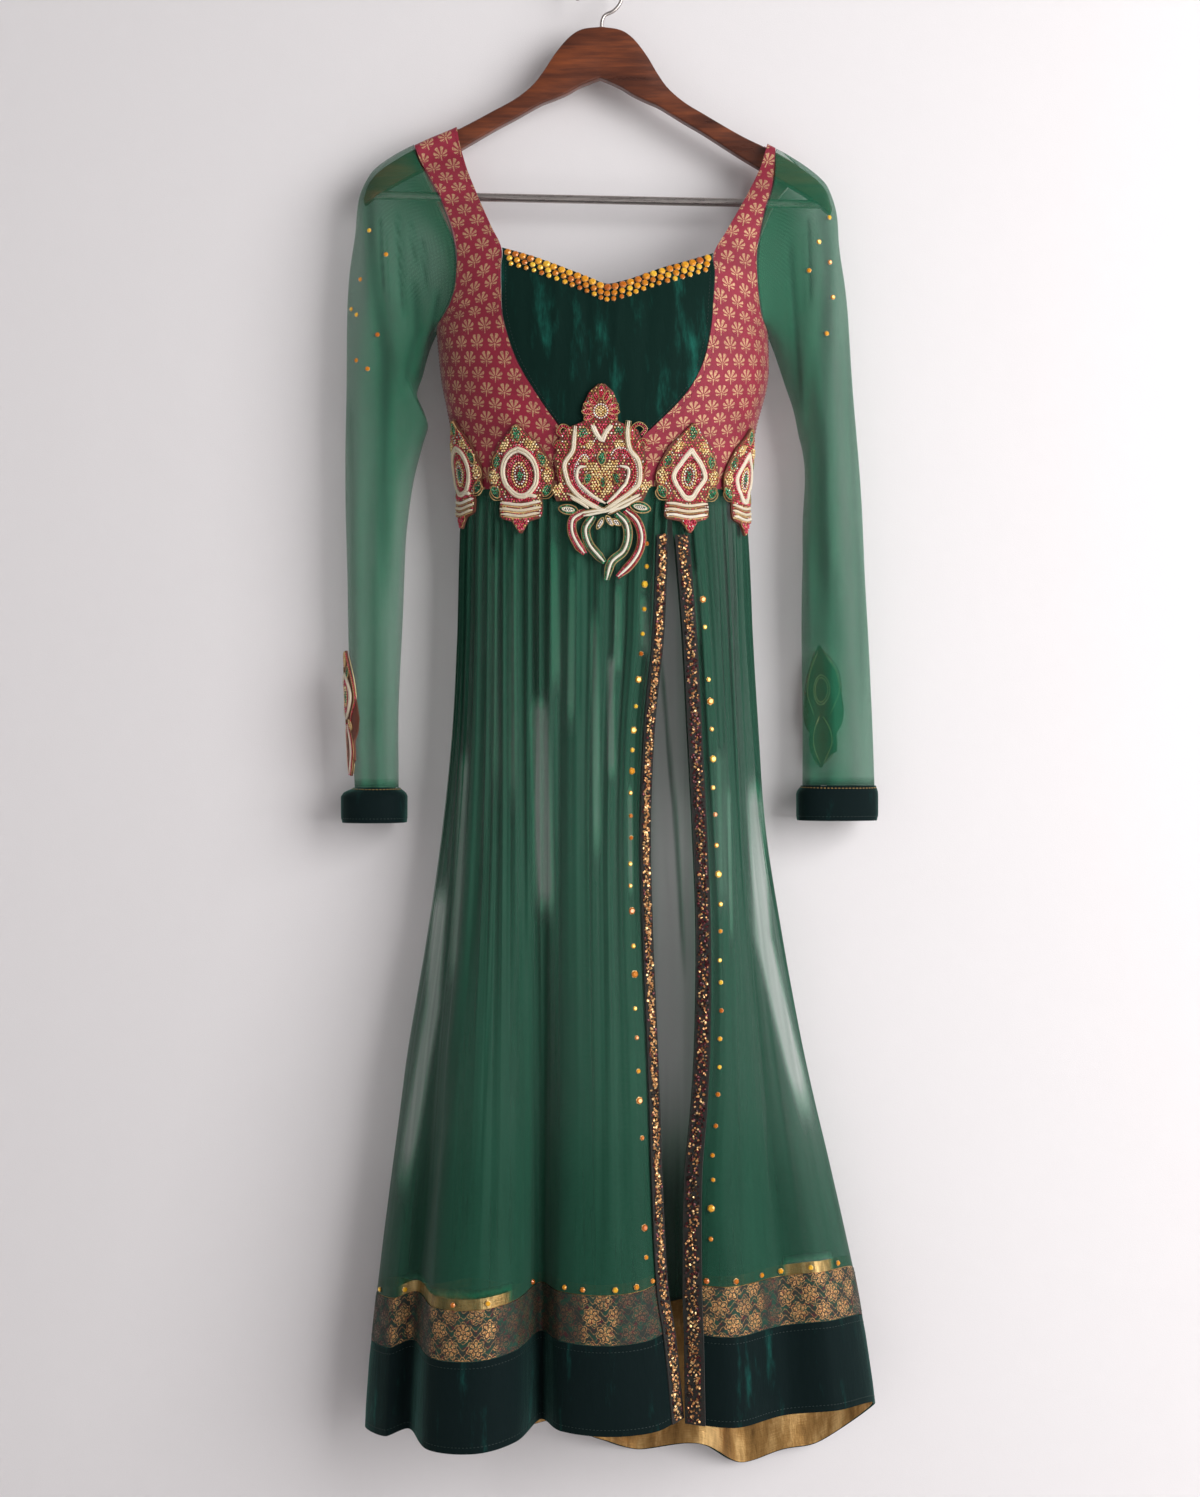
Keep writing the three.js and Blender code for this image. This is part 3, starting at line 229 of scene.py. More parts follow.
def makeMesh(name, points, faces, uv=None, values=None, material=None, sharp=None):
    mesh = bpy.data.meshes.new(name)
    mesh.from_pydata(np.asarray(points).tolist(), [], faces.tolist() if hasattr(faces, "tolist") else faces)
    if uv is not None:
        layer = mesh.uv_layers.new(name="cloth")
        corners = np.empty(len(mesh.loops), int)
        mesh.loops.foreach_get("vertex_index", corners)
        layer.data.foreach_set("uv", np.asarray(uv, np.float32)[corners].ravel())
    for key, data in (values or {}).items():
        layer = mesh.attributes.new(key, "FLOAT", "POINT")
        layer.data.foreach_set("value", np.asarray(data, np.float32).ravel())
    mesh.polygons.foreach_set("use_smooth", [True] * len(mesh.polygons))
    if sharp:
        mesh.set_sharp_from_angle(angle=math.radians(sharp))
    if material:
        mesh.materials.append(material)
    piece = bpy.data.objects.new(name, mesh)
    bpy.context.scene.collection.objects.link(piece)
    return piece


def gridFaces(rows, columns, closed=False):
    across = np.arange(columns if closed else columns - 1)
    down = np.arange(rows - 1)[:, None]
    a = down * columns + across
    b = down * columns + (across + 1) % columns
    return np.stack([a, b, b + columns, a + columns], -1).reshape(-1, 4)


def sheetMesh(name, grid, uv, values=None, material=None, closed=False):
    faces = gridFaces(*grid.shape[:2], closed)
    return makeMesh(name, grid.reshape(-1, 3) * mm, faces, uv.reshape(-1, 2), values, material)


# the faces of a closed wall between an outer and an inner grid of points
def wallFaces(rows, columns):
    front, count = gridFaces(rows, columns), rows * columns
    step, down = np.arange(columns - 1), np.arange(rows - 1) * columns
    last, edge = step + count - columns, down + columns - 1
    rims = [
        (step + count, step + 1 + count, step + 1, step), (last, last + 1, last + 1 + count, last + count),
        (down, down + columns, down + columns + count, down + count),
        (edge, edge + count, edge + columns + count, edge + columns),
    ]
    return np.concatenate([front, front[:, ::-1] + count, *[np.stack(rim, -1) for rim in rims]])


def wallMesh(name, outer, inner, uv, values=None, material=None):
    points = np.concatenate([outer.reshape(-1, 3), inner.reshape(-1, 3)]) * mm
    both = np.concatenate([uv.reshape(-1, 2)] * 2)
    values = {key: np.concatenate([np.ravel(v)] * 2) for key, v in (values or {}).items()}
    return makeMesh(name, points, wallFaces(*outer.shape[:2]), both, values, material, sharp=60)


def unit(vectors):
    return vectors / np.maximum(1e-12, np.linalg.norm(vectors, axis=-1, keepdims=True))


# the length along a line of points, at each of them
def runAlong(points):
    return np.concatenate([[0], np.cumsum(np.linalg.norm(np.diff(points, axis=0), axis=-1))])


# the form of the cloth, in millimetres


def table(names, rows):
    data = np.array(rows, float)
    return {name: data[:, i] for i, name in enumerate(names.split())}


def readAt(source, by, column, at):
    knots, values = source[by], source[column]
    if knots[0] > knots[-1]:
        knots, values = knots[::-1], values[::-1]
    count = len(knots)
    index = np.arange(count)
    before, after = np.maximum(0, index - 1), np.minimum(count - 1, index + 1)
    slope = (values[after] - values[before]) / (knots[after] - knots[before])
    at = np.asarray(at, float)
    i = np.clip(np.searchsorted(knots, at, side="right") - 1, 0, count - 2)
    span = knots[i + 1] - knots[i]
    t = np.clip((at - knots[i]) / span, 0, 1)
    t2, t3 = t * t, t * t * t
    return (
        (2 * t3 - 3 * t2 + 1) * values[i] + (t3 - 2 * t2 + t) * span * slope[i]
        + (3 * t2 - 2 * t3) * values[i + 1] + (t3 - t2) * span * slope[i + 1]
    )


def blend(a, b, share):
    return a + (b - a) * share


def shares(count):
    return np.linspace(0, 1, count)


def smooth(value, low, high):
    t = np.clip((value - low) / (high - low), 0, 1)
    return t * t * (3 - 2 * t)


def normals(surface, a, b, step=1e-3):
    across = surface(a + step, b) - surface(a - step, b)
    along = surface(a, b + step) - surface(a, b - step)
    return unit(np.cross(across, along))


def powered(value, power):
    return np.sign(value) * np.abs(value) ** power


garment = {
    "seam": 0.3, "brocade": 1.4, "velvet": 1.8, "net": 1, "band": 1.2, "tape": 1.2, "facing": 1,
    "waist": -500, "velvetBorder": 81, "brocadeBorder": 44, "hemSeam": 0.6, "facingHeight": 137,
}
waistZ = garment["waist"]

bodiceRings = table("z middle half front back square", [
    (-500, 3, 135, 70, 20, 2.3), (-440, 3.3, 145, 82, 21, 2.3), (-392, 4.5, 155.5, 90, 22, 2.3),
    (-348, 2.5, 158, 92, 22, 2.3), (-305, 1, 162, 82, 22, 2.6), (-267, 0, 168, 66, 21, 3),
    (-220, 0, 184, 38, 18, 4), (-182, 0, 208, 17, 13, 5), (-150, 0, 235, 9.5, 9.5, 6),
])

edgeNames = "innerX innerZ side outerX outerZ"
panelEdges = {
    "front_left": table(edgeNames, [
        (3, -500, 1, 0, -500), (3, -484, 1, 0, -480), (3, -472, 1, 0, -455), (-24, -464, 1, 0, -430),
        (-55, -422, 1, 0, -400), (-77, -385, 1, 0, -372), (-89, -348, 1, 0, -347),
        (-91, -322, 0, -146, -336), (-91.5, -300, 0, -136, -318), (-91, -280, 0, -133, -293),
        (-101, -257, 0, -136, -262), (-113, -228, 0, -147, -231), (-123, -202, 0, -160, -204),
        (-132, -173, 0, -170, -186),
    ]),
    "front_right": table(edgeNames, [
        (3, -500, 1, 0, -500), (3, -484, 1, 0, -480), (3, -472, 1, 0, -458), (30, -464, 1, 0, -434),
        (74, -422, 1, 0, -405), (93, -392, 1, 0, -380), (102, -356, 1, 0, -354),
        (104.5, -328, 0, 153, -340), (106, -304, 0, 148, -318), (105, -285, 0, 146, -290),
        (117, -262, 0, 148.5, -264), (132, -234, 0, 154, -238), (143, -212, 0, 161.5, -214),
        (152, -192, 0, 164.5, -194),
    ]),
    "back_left": table(edgeNames, [
        (3, -500, 1, 0, -500), (3, -455, 1, 0, -455), (3, -410, 1, 0, -405), (3, -372, 1, 0, -347),
        (-34, -370, 0, -148, -333), (-72, -355, 0, -138, -310), (-92, -325, 0, -136, -285),
        (-105, -280, 0, -140, -255), (-118, -235, 0, -152, -227), (-125, -203, 0, -162, -204),
        (-132, -173, 0, -170, -186),
    ]),
    "back_right": table(edgeNames, [
        (3, -500, 1, 0, -500), (3, -455, 1, 0, -455), (3, -410, 1, 0, -408), (3, -372, 1, 0, -354),
        (40, -370, 0, 155, -338), (80, -355, 0, 147, -312), (104, -325, 0, 146, -290),
        (120, -284, 0, 149, -264), (133, -248, 0, 157, -242), (144, -218, 0, 168, -218),
        (152, -192, 0, 181, -202),
    ]),
}
neckline = table("x z", [
    (-91, -280), (-64, -289), (-37, -300), (-9, -311.5), (6.5, -317.5), (28, -312.5), (55, -302),
    (83, -293), (105, -285),
])
armEdge = table("out top bottom", [
    (0, -54, -103), (19, -57, -111), (31, -65, -118), (44, -81, -124), (54, -97, -128),
    (64, -110.5, -133.5), (80, -124, -143), (98, -134.5, -153), (135, -155, -175.5), (165, -169, -192.5),
    (190, -183, -206), (209, -196.5, -218), (219, -209, -226), (222, -219, -228),
])
hanger = {
    "tilt": math.radians(1.2), "offset": 2.5, "thickness": 12, "edgeRound": 2.2, "barRadius": 4,
    "barZ": -218, "barReach": 217, "stemRadius": 1.75, "stemDepth": 22, "hookRadius": 22,
}


def armTop(x):
    sine = math.sin(hanger["tilt"])
    out = x - hanger["offset"]
    for _ in range(3):
        out = x - hanger["offset"] - sine * readAt(armEdge, "out", "top", np.abs(out))
    return readAt(armEdge, "out", "top", np.abs(out)) - sine * (out + hanger["offset"])


def bodice(angle, z):
    angle, z = np.broadcast_arrays(angle, z)
    ring = {name: readAt(bodiceRings, "z", name, z) for name in ("middle", "half", "front", "back", "square")}
    power = 2 / ring["square"]
    c, s = np.cos(angle), np.sin(angle)
    reach = np.where(s > 0, ring["front"], ring["back"])
    return np.stack([ring["middle"] + ring["half"] * powered(c, power), -reach * powered(s, power), z], -1)


def bodiceDown(angle, depth):
    return bodice(angle, -depth)


def angleAt(x, z, back=False):
    share = (x - readAt(bodiceRings, "z", "middle", z)) / readAt(bodiceRings, "z", "half", z)
    share = np.clip(share, -1, 1)
    angle = np.arccos(powered(share, readAt(bodiceRings, "z", "square", z) / 2))
    return 2 * np.pi - angle if back else angle


def alongRing(angle, z):
    steps = shares(25)
    turned = np.pi / 2 + (np.asarray(angle)[..., None] - np.pi / 2) * steps
    points = bodice(turned, np.broadcast_to(np.asarray(z)[..., None], turned.shape))
    length = np.linalg.norm(np.diff(points, axis=-2), axis=-1).sum(-1)
    return length * np.sign(np.pi / 2 - angle)


def numbered(source):
    return {**source, "i": np.arange(len(next(iter(source.values()))), dtype=float)}


def lifted(surface, a, b, lift, thickness):
    points, out, lift = surface(a, b), normals(surface, a, b), np.asarray(lift)[..., None]
    return points + out * lift, points + out * (lift - thickness)


# soft troughs and ridges, listed one by one: place, reach across, reach down, depth, lean
def creased(x, z, creases):
    made = np.zeros(np.broadcast(x, z).shape)
    for cx, cz, wide, tall, depth, lean in creases:
        across = x - cx - lean * (z - cz)
        made += depth * np.exp(-((across / wide) ** 2) - ((z - cz) / tall) ** 2)
    return made


# the skirt, round from one front edge to the other, and down from waist to hem

skirtSections = table("share left right slitLeft slitRight gather", [
    (0, 0, 0, 0, 0, 0.4), (0.035, 0, 0.005, -3, 0.8, 2.6), (0.09, 0.01, 0.02, -5, 4.5, 3.4),
    (0.16, 0.03, 0.04, -8, 9, 3.2), (0.26, 0.085, 0.085, -17, 13, 2.6), (0.37, 0.2, 0.145, -21.5, 17, 1.8),
    (0.48, 0.36, 0.27, -21, 18.6, 1.1), (0.6, 0.56, 0.43, -18.5, 15, 0.6),
    (0.67, 0.65, 0.54, -17.3, 10, 0.4), (0.74, 0.74, 0.66, -16.5, 3, 0.3), (0.86, 0.89, 0.85, -13, -0.5, 0),
    (0.91, 0.94, 0.91, -7, 0, 0), (1, 1, 1, 0, 0, 0),
])
hemFolds = table("around x y z", [
    (0, 76, -86, -1353), (0.035, 50, -106, -1360), (0.08, 6, -112, -1363), (0.125, -36, -98, -1362),
    (0.16, -55, -66, -1361), (0.195, -76, -112, -1367), (0.235, -112, -131, -1372),
    (0.275, -155, -116, -1373), (0.31, -176, -66, -1370), (0.335, -198, -70, -1376),
    (0.38, -221, -28, -1380), (0.42, -204, 14, -1386), (0.46, -166, -8, -1388), (0.5, -126, 21, -1389),
    (0.54, -84, -10, -1388), (0.58, -42, 22, -1390), (0.62, -2, -8, -1398), (0.66, 36, 22, -1418),
    (0.7, 92, -10, -1402), (0.74, 134, 20, -1430), (0.775, 176, 19, -1417), (0.81, 215, 19, -1408),
    (0.84, 259, -24, -1360), (0.885, 218, -74, -1351), (0.915, 172, -70, -1356), (0.96, 124, -102, -1358),
    (1, 77.5, -90, -1357),
])
skirtCut = {"slitAngle": 65.4, "leftSeam": 0.38, "rightSeam": 0.84, "gathers": 48, "slitSoftness": 0.08}
stops = table("around angle", [
    (0, skirtCut["slitAngle"]), (skirtCut["leftSeam"], 180), (skirtCut["rightSeam"], 360),
    (1, 360 + skirtCut["slitAngle"]),
])


def waistAngle(around):
    return np.radians(np.interp(around, stops["around"], stops["angle"]))


def aroundAt(angle):
    turned = np.degrees(angle) % 360
    turned = np.where(turned < skirtCut["slitAngle"], turned + 360, turned)
    return np.interp(turned, stops["angle"], stops["around"])


def skirtForm(around, share):
    around, share = np.broadcast_arrays(around, share)
    hem = {name: readAt(hemFolds, "around", name, around) for name in "xyz"}
    names = ("left", "right", "slitLeft", "slitRight")
    at = {name: readAt(skirtSections, "share", name, share) for name in names}
    angle = waistAngle(around)
    waist = bodice(angle, np.full(around.shape, waistZ))
    rightness = (1 + np.cos(angle)) / 2
    opened = blend(at["left"], at["right"], rightness)
    nearStart, nearEnd = (np.exp(-((near / skirtCut["slitSoftness"]) ** 2)) for near in (around, 1 - around))
    return np.stack([
        blend(waist[..., 0], hem["x"], opened) + at["slitLeft"] * nearStart + at["slitRight"] * nearEnd,
        blend(waist[..., 1], hem["y"], opened),
        blend(waistZ - garment["seam"], hem["z"], share),
    ], -1)


def gatherPhase(around):
    turn = 2 * np.pi * around
    return skirtCut["gathers"] * around + 0.3 * np.sin(5 * turn) + 0.2 * np.sin(13 * turn)


def gather(around, share):
    depth = readAt(skirtSections, "share", "gather", share)
    return depth * np.sin(2 * np.pi * gatherPhase(around)) * (0.8 + 0.2 * np.sin(14 * np.pi * around + 1))


def skirt(around, share):
    out = normals(skirtForm, around, share)
    return skirtForm(around, share) + out * gather(around, share)[..., None]


def skirtLength(around):
    return waistZ - readAt(hemFolds, "around", "z", around)


def shareAbove(around, height):
    return 1 - height / skirtLength(around)


# length along the hem from the first front edge
hemSteps = shares(801)
hemRun = runAlong(skirtForm(hemSteps, np.ones(801)))


def hemLength(around):
    return np.interp(around, hemSteps, hemRun)


# the sleeves, from the armhole down

sleeveNames = "outerX outerZ innerX innerZ front back"
sleeveTables = {
    "left": numbered(table(sleeveNames, [
        (-176, -164, -158, -350, 30, 18), (-188, -171.5, -161, -357, 34, 19),
        (-203, -180, -165, -368, 37, 19), (-219, -194.5, -169, -384, 38, 19),
        (-228.5, -216, -174, -404, 38, 19), (-233, -250, -170, -421, 37, 19),
        (-238, -290, -163, -434, 36, 19), (-241, -345, -169, -454, 35, 19),
        (-242.5, -425, -179, -490, 34, 19), (-242.5, -515, -185, -545, 32, 19),
        (-241, -610, -189, -620, 30, 19), (-238, -700, -192, -703, 28, 19),
        (-234, -779, -192, -779, 27, 19),
    ])),
    "right": numbered(table(sleeveNames, [
        (178, -176, 160, -351, 30, 18), (190, -183.5, 164, -360, 34, 19), (205, -193, 169, -372, 37, 19),
        (217, -207, 176, -392, 38, 19), (224, -229, 183, -416, 38, 19), (227.5, -262, 189, -440, 37, 19),
        (233, -305, 193, -462, 36, 19), (238, -360, 195, -490, 35, 19), (244, -435, 194, -525, 34, 19),
        (250, -520, 193, -565, 32, 19), (255, -610, 193, -628, 30, 19), (259, -700, 193, -706, 28, 19),
        (262, -777, 193, -777, 27, 19),
    ])),
}
sleeveForm = {
    "foldDepth": 1.8, "folds": 7, "foldStart": 0.35, "armholeRows": 3, "bluntness": 0.66, "clearance": 1.2,
    "shoulderRise": 4.6, "crestRise": 2.4, "shoulderHalf": 11, "strapRest": 0.6, "strapLean": 0.6,
}
sides = {"left": -1, "right": 1}


def crestOf(belowX, belowZ, topX, topZ):
    slope = (topX - belowX) / (topZ - belowZ)
    x = topX + slope * sleeveForm["strapLean"] * (armTop(topX) - topZ)
    return x, armTop(x) + sleeveForm["strapRest"]


# a centripetal curve through points, read by its share of the length
def curveThrough(points, steps=60):
    points = np.array(points, float)
    ends = np.concatenate([[2 * points[0] - points[1]], points, [2 * points[-1] - points[-2]]])
    dense = []
    for i in range(len(points) - 1):
        p = ends[i:i + 4]
        g = np.sqrt(np.linalg.norm(np.diff(p, axis=0), axis=1)).clip(1e-4)
        t = np.linspace(0, 1, steps, endpoint=False)[:, None]
        first = ((p[1] - p[0]) / g[0] - (p[2] - p[0]) / (g[0] + g[1]) + (p[2] - p[1]) / g[1]) * g[1]
        second = ((p[2] - p[1]) / g[1] - (p[3] - p[1]) / (g[1] + g[2]) + (p[3] - p[2]) / g[2]) * g[1]
        dense.append(
            p[1] + first * t + (-3 * p[1] + 3 * p[2] - 2 * first - second) * t**2
            + (2 * p[1] - 2 * p[2] + first + second) * t**3
        )
    dense = np.concatenate([*dense, points[-1:]])
    run = runAlong(dense)
    return lambda share: np.stack([np.interp(share, run / run[-1], dense[:, k]) for k in range(3)], -1)


def armholeHalves(side):
    sign = sides[side]
    away = np.array([sleeveForm["clearance"] * sign, 0, 0])
    crests = {}
    for face in ("front", "back"):
        e = panelEdges[face + "_" + side]
        xs, zs = e["outerX"], e["outerZ"]
        crests[face] = crestOf(xs[-2], zs[-2], xs[-1], zs[-1])[0] + away[0]
    middle = (crests["front"] + crests["back"]) / 2
    shoulder = [middle, 0, armTop(middle) + sleeveForm["shoulderRise"]]
    front = panelEdges["front_" + side]
    underZ = front["outerZ"][front["side"] > 0][-1]
    underarm = bodice(np.pi if sign < 0 else 0, underZ) + 1.5 * away + [0, 0, 2]
    halves = {}
    for face in ("front", "back"):
        e = panelEdges[face + "_" + side]
        free = np.flatnonzero(e["side"] < 1)[::-1]
        isBack = face == "back"
        down = [bodice(angleAt(e["outerX"][k], e["outerZ"][k], isBack), e["outerZ"][k]) + away for k in free]
        crestY = sleeveForm["shoulderHalf"] * (1 if isBack else -1)
        crest = [crests[face], crestY, armTop(crests[face]) + sleeveForm["crestRise"]]
        halves[face] = curveThrough([shoulder, crest, *down, underarm])
    return halves


armholes = {side: armholeHalves(side) for side in sides}


def sleevePoint(side, turn, along):
    turn, along = np.broadcast_arrays(turn, along)
    source = sleeveTables[side]
    at = {name: readAt(source, "i", name, along) for name in sleeveNames.split()}
    c, s = np.cos(np.radians(turn)), np.sin(np.radians(turn))
    soft = np.clip((along / 12 - sleeveForm["foldStart"]) / 0.1, 0, 1)
    wave = np.sin(np.radians(turn) * sleeveForm["folds"] + 0.12 * along) * sleeveForm["foldDepth"] * soft
    reach = np.where(s > 0, at["front"], at["back"]) + wave
    tube = np.stack([
        (at["outerX"] + at["innerX"]) / 2 + (at["outerX"] - at["innerX"]) / 2 * c,
        -reach * powered(s, sleeveForm["bluntness"]),
        (at["outerZ"] + at["innerZ"]) / 2 + (at["outerZ"] - at["innerZ"]) / 2 * c,
    ], -1)
    share = smooth(along, 0, sleeveForm["armholeRows"])[..., None]
    place = np.where(s > 0, turn / 180, (360 - turn) / 180) % 2
    place = np.where(place > 1, 2 - place, place)
    hole = np.where(s[..., None] > 0, armholes[side]["front"](place), armholes[side]["back"](place))
    return blend(hole, tube, share)


print("form ready")


# materials


def srgb(*values):
    scaled = [v / 255 for v in values]
    return tuple(v / 12.92 if v <= 0.04045 else ((v + 0.055) / 1.055) ** 2.4 for v in scaled)


def withGroup(tree, made, **inputs):
    return node(tree, "ShaderNodeGroup", inputs, node_tree=made)


# a place moved a little by noise, so that a weave isn't dead straight
def wobbled(place, scales, reaches):
    x, y = (noise(place, scale, 2) * reach for scale, reach in zip(scales, reaches))
    shift = node(place.tree, "ShaderNodeCombineXYZ", {"X": x, "Y": y})
    return node(place.tree, "ShaderNodeVectorMath", {0: place, 1: shift}, operation="ADD")


wood = {
    "dark": srgb(58, 24, 12), "middle": srgb(94, 44, 21), "light": srgb(136, 66, 26), "grain": 60,
    "roughness": 0.34,
}
woodMaterial, tree, surface = newMaterial("wood", roughness=wood["roughness"], coat=0.22, coatRoughness=0.2)
grain = noise(ownPlace(tree), wood["grain"], 5, 0.6, (0.22, 1, 1.6))
pores = grain * 0.7 + noise(ownPlace(tree), 420, 2, 0.5, (0.06, 1, 1)) * 0.3
dress(
    surface, baseColor=rampColors(pores, [(0.3, wood["dark"]), (0.72, wood["light"]), (0.5, wood["middle"])]),
    roughness=ramped(grain, 0.2, 0.8, 0.26, 0.42), normal=bumped(pores, 0.25, 0.0006),
)

steelMaterial, tree, surface = newMaterial("steel", metallic=0.95, roughness=0.3)
scratches = noise(ownPlace(tree), 900, 3, 0.6, (0.05, 1, 1))
dress(
    surface, baseColor=mixed(scratches, srgb(150, 140, 136), srgb(205, 198, 194)),
    roughness=ramped(scratches, 0.2, 0.8, 0.2, 0.42), normal=bumped(scratches, 0.15, 0.0002),
)

# crushed velvet: a dark pile with lighter streaks where it lies over; the streaks are painted sheen in its
# colour
velvet = {
    "deep": srgb(5, 34, 28), "lit": srgb(28, 104, 90), "hemDeep": srgb(6, 22, 23), "hemLit": srgb(24, 92, 84),
    "sheen": srgb(120, 190, 175), "streak": 46, "pile": 1500,
}


def velvetMaterial(name, deep, lit, low, high):
    made, tree, surface = newMaterial(
        name, roughness=0.82, sheen=0.55, sheenRoughness=0.35, sheenTint=velvet["sheen"], specular=0.12,
    )
    cloth = clothUv(tree)
    crush = noise(cloth, velvet["streak"], 5, 0.68, (1, 0.2, 1))
    crossed = noise(cloth, velvet["streak"] * 2.2, 3, 0.6, (1, 0.5, 1))
    streak = ramped(crush, low, high) * ramped(crossed, 0.25, 0.7, 0.35, 1)
    pile = noise(cloth, velvet["pile"], 2, 0.6)
    # the lit colour mixed in along the streaks is painted sheen
    shade = calc("MULTIPLY", streak, ramped(pile, 0.2, 0.8, 0.75, 1.1), clamp=True)
    dress(surface, baseColor=mixed(shade, deep, lit), normal=bumped(crush + pile * 0.12, 0.5, 0.0022))
    return made


yokeVelvet = velvetMaterial("velvet_yoke", velvet["deep"], velvet["lit"], 0.5, 0.78)
hemVelvet = velvetMaterial("velvet_hem", velvet["hemDeep"], velvet["hemLit"], 0.55, 0.8)

# net: the pale wall shows between its threads, less where the cloth lies in layers; there its colour is also
# painted darker, as painted shade between the layers
net = {
    "deep": srgb(16, 62, 45), "deepPale": srgb(28, 80, 61), "thin": srgb(12, 100, 68),
    "thinPale": srgb(30, 120, 88), "open": 0.55, "mesh": 0.0011,
}
netMaterial, tree, surface = newMaterial("net", roughness=0.62, sheen=0.1, sheenRoughness=0.5, specular=0.15)
cloth = clothUv(tree)
holes = outputsOf(withGroup(tree, weave, Vector=cloth, Pitch=net["mesh"]))["Holes"]
drift = noise(cloth, 30, 3, 0.6, (1, 0.16, 1))
layers = attribute(tree, "layers") * ramped(drift, 0.2, 0.8, 0.9, 1.1)
covered = calc("SUBTRACT", 1, calc("POWER", net["open"], layers))
# the colour turns darker with more layers: painted shade between the layers
thinNet, layerShadedNet = mixed(drift, net["thin"], net["thinPale"]), mixed(drift, net["deep"], net["deepPale"])
dress(
    surface, alpha=calc("MULTIPLY", covered, ramped(holes, 0, 1, 1.06, 0.94), clamp=True),
    baseColor=mixed(ramped(layers, 1, 2.6), thinNet, layerShadedNet),
)

# the woven sprig of the side panels, one in each cell of a half-drop lattice
brocade = {
    "across": 0.0186, "down": 0.0286, "ground": srgb(160, 30, 58), "groundDark": srgb(120, 16, 40),
    "gold": srgb(228, 188, 142), "goldDark": srgb(168, 118, 90), "petals": 9, "rib": 0.00055,
}


def cellPlace(value, size, shift):
    return (calc("FRACT", value / size + shift) - 0.5) * size


sprig, x, y, shift, given = group("sprig", "Shift", 0, ["Mask"])
cu, cv = cellPlace(x, brocade["across"], shift), cellPlace(y, brocade["down"], shift)
up = cv + 0.002
reach, turn = calc("SQRT", cu * cu + up * up), calc("ARCTAN2", cu, up)
swing = abs(calc("SINE", turn * (brocade["petals"] / 2)))
petal = ramped(swing, 0.52, 0.68) * (abs(turn) < 2.3)
limit = swing * 0.0012 + (calc("COSINE", turn) * 0.0028 + 0.0052)
within = (reach < limit) * (reach > 0.0017)
stem = (abs(cu) < 0.0005) * ((up < -0.001) * (up > -0.0052))
feed(given["Mask"], calc("MAXIMUM", petal * within, calc("MAXIMUM", reach < 0.0011, stem)))

brocadeMaterial, tree, surface = newMaterial(
    "brocade", roughness=0.5, sheen=0.3, sheenRoughness=0.4, specular=0.4,
)
cloth = clothUv(tree)
wobble = wobbled(cloth, (260, 190), (0.0007, 0.0009))
figure = calc("MAXIMUM", *[withGroup(tree, sprig, Vector=wobble, Shift=shift) for shift in (0, 0.5)])
figure = figure * ramped(noise(cloth, 600, 3, 0.6), 0.3, 0.62, 0.35, 1)
threads = withGroup(tree, weave, Vector=cloth, Pitch=brocade["rib"])
patchy = noise(cloth, 35, 3)
ground, goldThread = (mixed(patchy, brocade[name + "Dark"], brocade[name]) for name in ("ground", "gold"))
dress(
    surface, baseColor=mixed(figure, ground, goldThread), metallic=figure * 0.35,
    roughness=ramped(figure, 0, 1, 0.55, 0.4), normal=bumped(threads * 0.2 + figure, 0.5, 0.0004),
)

# the wrong side of that brocade, which a strap shows over the hanger
insideMaterial, tree, surface = newMaterial("brocade_inside", roughness=0.7, sheen=0.2, specular=0.3)
weft = noise(clothUv(tree), 900, 2, 0.5, (0.15, 1, 1))
wrongSide = mixed(weft, srgb(122, 62, 78), srgb(164, 104, 112))
dress(surface, baseColor=wrongSide, normal=bumped(weft, 0.3, 0.0003))

# hem brocade: a dark ground with gold flowers in half-drop rows, scrolls between and a dotted glitter; the
# gold is painted bright where it faces the light and brown elsewhere: painted highlight and painted shade
hemCloth = {
    "cell": 0.0205, "gold": srgb(255, 214, 150), "goldDark": srgb(204, 138, 76), "shadedGold": srgb(86, 60, 48),
    "ground": srgb(34, 42, 36), "maroon": srgb(70, 24, 32), "green": srgb(16, 60, 46), "dot": 900,
    "petals": 7,
}
flower, x, y, shift, given = group("flower", "Shift", 0, ["Petals", "Eye", "Rim"])
cu, cv = cellPlace(x, hemCloth["cell"] * 1.25, shift), cellPlace(y, hemCloth["cell"] * 1.5, shift)
reach, turn = calc("SQRT", cu * cu + cv * cv), calc("ARCTAN2", cu, cv)
swing = calc("COSINE", turn * hemCloth["petals"])
limit = swing * 0.0011 + 0.006
feed(given["Petals"], (swing > -0.55) * (reach < limit) * (reach > 0.0026))
feed(given["Eye"], reach < 0.0019)
feed(given["Rim"], abs(reach - (limit + 0.0019)) < 0.00055)

hemBrocade, tree, surface = newMaterial("hem_brocade", roughness=0.42, metallic=0.5, specular=0.4)
cloth = clothUv(tree)
bent = wobbled(cloth, (120, 95), (0.0012, 0.0012))
flowers = [outputsOf(withGroup(tree, flower, Vector=bent, Shift=shift)) for shift in (0, 0.5)]
petals, eyes, rims = (calc("MAXIMUM", *[made[part] for made in flowers]) for part in ("Petals", "Eye", "Rim"))
u, v, _ = split(bent)
scroll = calc("SINE", v * 1150 + calc("SINE", u * 520) * 2.8)
scroll = (scroll > 0.78) * calc("SUBTRACT", 1, petals)
dots = node(tree, "ShaderNodeTexVoronoi", {"Vector": cloth, "Scale": hemCloth["dot"]}, "Distance")
figure = calc("MAXIMUM", calc("MAXIMUM", petals, eyes), calc("MAXIMUM", rims * 0.8, scroll * 0.45))
figure = figure * ramped(dots, 0.3, 0.66, 1, 0.3)
